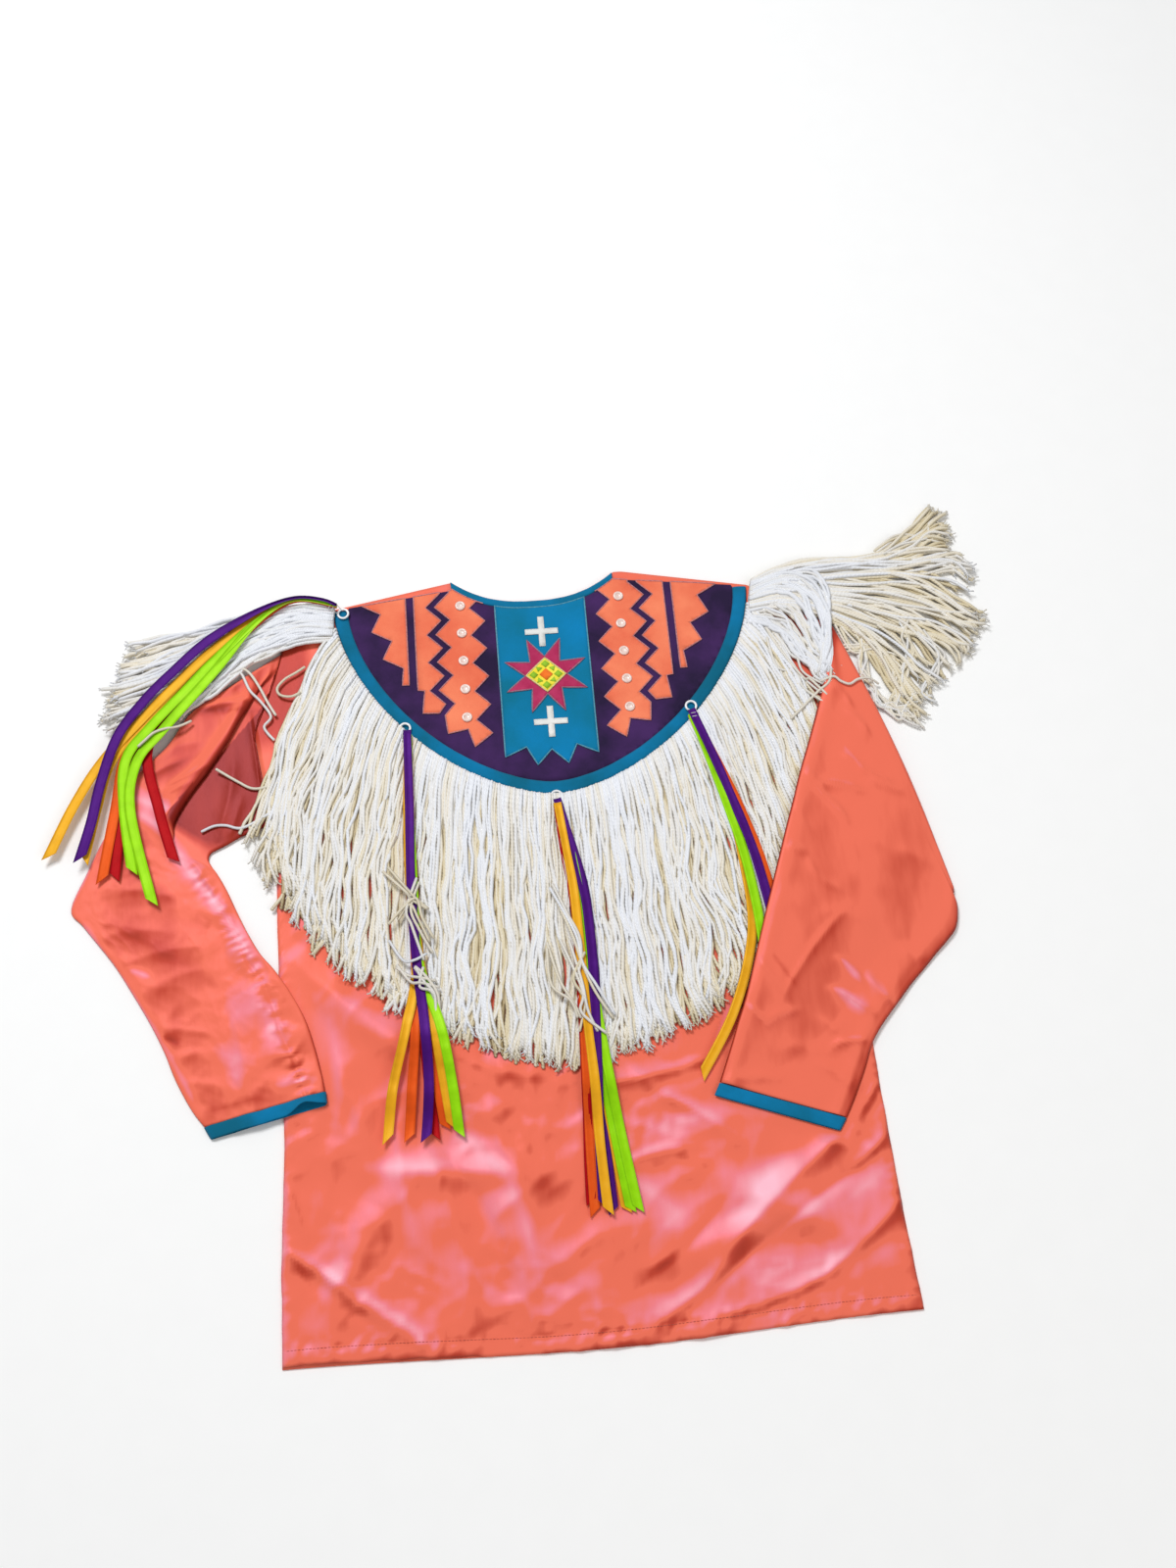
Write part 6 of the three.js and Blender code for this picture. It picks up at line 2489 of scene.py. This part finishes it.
def bundles() -> list[Bundle]:
    """Lay out the ribbons of the four rings, from the lowest layer up.

    Returns:
        The bundles.
    """
    short_y = (203, 120, 40, -40, -105, -158, -200)
    right_y = (203, 120, 40, -40, -105, -160, -208)
    centre_y = (116, 66, 20, -40, -110, -170, -230, -290)
    left_y = (206, 164, 108, 48, -15, -64)
    front_right = Bundle("front_right", (-153, 213), (
        Tail("red", (-150, -152, -153, -151, -149, -146, -143), right_y, 0, 5),
        Tail("orange", (-150, -152, -152, -150, -144, -138, -133), short_y, 0.5, 4),
        Tail("orange", (-150, -153, -154, -153, -156, -162, -167), right_y, 1, -5),
        Tail("gold", (-150, -153, -153, -149, -138, -132, -127), short_y, 1.5, 5),
        Tail("gold", (-150, -154, -155, -152, -165, -180, -187), right_y, 2, -6),
        Tail("lime", (-150, -152, -152, -150, -132, -124, -120), right_y, 3, 5),
        Tail("purple", (-150.5, -152, -154, -152, -147, -146, -151),
             (208, 120, 40, -40, -105, -160, -210), 4, -5),
    ))
    front_centre = Bundle("front_centre", (-2, 126), (
        Tail("red", (-2, 1, 6, 7, 5, 3, 0, -2), (*centre_y[:-1], -280), 0, -4),
        Tail("orange", (-2, 4, 10, 10, 6, 4, 2, 1), centre_y, 0.3, -5),
        Tail("orange", (-2, 6, 14, 14, 14, 12, 9, 9), (*centre_y[:-1], -284), 0.5, 4),
        Tail("purple", (-2, 9, 17, 19, 19, 15, 11, 9),
             (121, 66, 20, -20, -63, -150, -220, -284), 3.1, 5),
        Tail("purple", (-2, 10, 18, 20, 19, 17, 16, 18), (118, *centre_y[1:]), 1.0, -4),
        Tail("gold", (-2, 6, 12, 16, 18, 20, 25, 30), centre_y, 1.5, 4),
        Tail("gold", (-2, 3, 7, 8, 9, 11, 11, 13), centre_y, 3.9, 5),
        Tail("lime", (-2, 6, 11, 14, 17, 21, 27, 34), centre_y, 1.9, 4),
        Tail("lime", (-2, 7, 12, 16, 20, 26, 33, 41), centre_y, 2.5, 5),
    ), hidden="red")
    front_left = Bundle("front_left", (147, 217), (
        Tail("gold", (146, 158, 172, 180, 182, 172, 149, 115), (*left_y, -118, -170), 0, 6),
        Tail("orange", (146, 162, 181, 197, 207, 211), left_y, 1),
        Tail("lime", (146, 157, 170, 182, 188, 189), left_y, 2),
        Tail("purple", (146, 161, 177, 192, 201, 205), (211, *left_y[1:]), 3),
    ))
    down = (358, 366, 337, 292, 252, 205, 140)
    over = (358, 367, 347, 311, 275, 240, 197, 150)
    shoulder = Bundle("shoulder_right", (-213, 352), (
        Tail("red", (-219, -263, -310, -352, -388, -416, -404, -389), (*down, 86), 0, 5),
        Tail("red", (-219, -263, -310, -352, -392, -430, -441, -447), (*down, 72), 0, 5),
        Tail("orange", (-219, -263, -310, -354, -396, -436, -448, -459), (*down, 70), 1, -6),
        Tail("gold", (-219, -263, -306, -351, -386, -417, -452, -465, -477), (*over, 92), 1.5, 6),
        Tail("gold", (-219, -263, -306, -351, -387, -421, -461, -489, -512), (*over, 98), 2, -6),
        Tail("lime", (-219, -263, -303, -350, -381, -414, -437, -439, -429),
             (358, 366, 343, 297, 263, 228, 197, 150, 76), 2.6, 6),
        Tail("lime", (-219, -263, -304, -345, -373, -402, -426, -432, -409),
             (358, 366, 341, 290, 256, 222, 192, 140, 42), 3, 6),
        Tail("purple", (-219, -233, -263, -305, -354, -391, -419, -445, -461, -470, -480),
             (357, 364, 367, 352, 322, 287, 258, 222, 174, 129, 92), 5, -6),
    ), pile=((8, 10.2), (60, 14.4), (200, 14.4), (300, 8), (420, 5.4)), opens=(0.08, 0.36),
        gathered=0.26, width=10.5)
    return [front_right, front_centre, front_left, shoulder]


# ------------------------------------------------------------------ studio

@dataclass
class Studio:
    """Plain floor, soft lights and the camera."""

    camera_place: tuple[float, float, float] = (-0.06635, -0.46562, 1.5)
    heading: float = -9.21
    tilt: float = 22.25
    roll: float = 4.57
    lens: float = 36.0
    middle: tuple[float, float, float] = (0, -0.02, 0)
    daylight: float = 0.38

    def lamp(self, name: str, place: Sequence[float], size: float, watts: float,
             color: Color) -> None:
        """Hang a soft square light that faces the shirt.

        Args:
            name: the light's name.
            place: where it hangs, in metres.
            size: its side.
            watts: its power.
            color: its colour.
        """
        data = bpy.data.lights.new(name, "AREA")
        data.shape = "SQUARE"
        data.size = size
        data.energy = watts
        data.color = color
        lamp = bpy.data.objects.new(name, data)
        bpy.context.scene.collection.objects.link(lamp)
        lamp.location = place
        facing = Vector(self.middle) - Vector(place)
        lamp.rotation_euler = facing.to_track_quat("-Z", "Y").to_euler()

    def build(self) -> None:
        """Build the floor, the lights and the camera."""
        mesh = bmesh.new()
        bmesh.ops.create_grid(mesh, x_segments=2, y_segments=2, size=4000)
        bmesh.ops.scale(mesh, vec=(MM, MM, MM), verts=mesh.verts)
        bmesh.ops.translate(mesh, verts=mesh.verts, vec=(0, 0, -0.0003))
        data = bpy.data.meshes.new("studio_floor")
        mesh.to_mesh(data)
        mesh.free()
        data.materials.append(Finish.FLOOR.material())
        floor = bpy.data.objects.new("studio_floor", data)
        bpy.context.scene.collection.objects.link(floor)
        self.lamp("window_light", (-0.9, 1.5, 2.9), 1.1, 74, (0.97, 0.98, 1.0))
        self.lamp("fill_light", (1.3, -1.4, 2.2), 1.6, 14, (1.0, 0.98, 0.96))
        world = bpy.data.worlds.new("studio")
        world.use_nodes = True
        sky = world.node_tree.nodes["Background"].inputs
        sky["Color"].default_value = (1.0, 1.0, 1.0, 1)
        sky["Strength"].default_value = self.daylight
        scene = bpy.context.scene
        scene.world = world
        scene.view_settings.view_transform = "Standard"
        view = bpy.data.cameras.new("camera")
        view.sensor_width = 36
        view.lens = self.lens
        camera = bpy.data.objects.new("camera", view)
        scene.collection.objects.link(camera)
        turn = [Matrix.Rotation(math.radians(a), 3, axis) for a, axis in
                ((self.heading, "Z"), (self.tilt, "X"), (self.roll, "Z"))]
        camera.rotation_euler = (turn[0] @ turn[1] @ turn[2]).to_euler()
        camera.location = self.camera_place
        scene.camera = camera


def main() -> None:
    """Build the shirt piece by piece."""
    logging.basicConfig(level=logging.INFO, format="%(name)s %(message)s")
    Studio().build()
    Body().build()
    RightSleeve().build()
    LeftSleeve().build()
    Yoke().build()
    FrontFringe().build()
    for sheaf in sheaves():
        sheaf.build()
    StrayYarns().build()
    for bundle in bundles():
        bundle.build()
    bpy.context.view_layer.update()


if __name__ == "__main__":
    main()
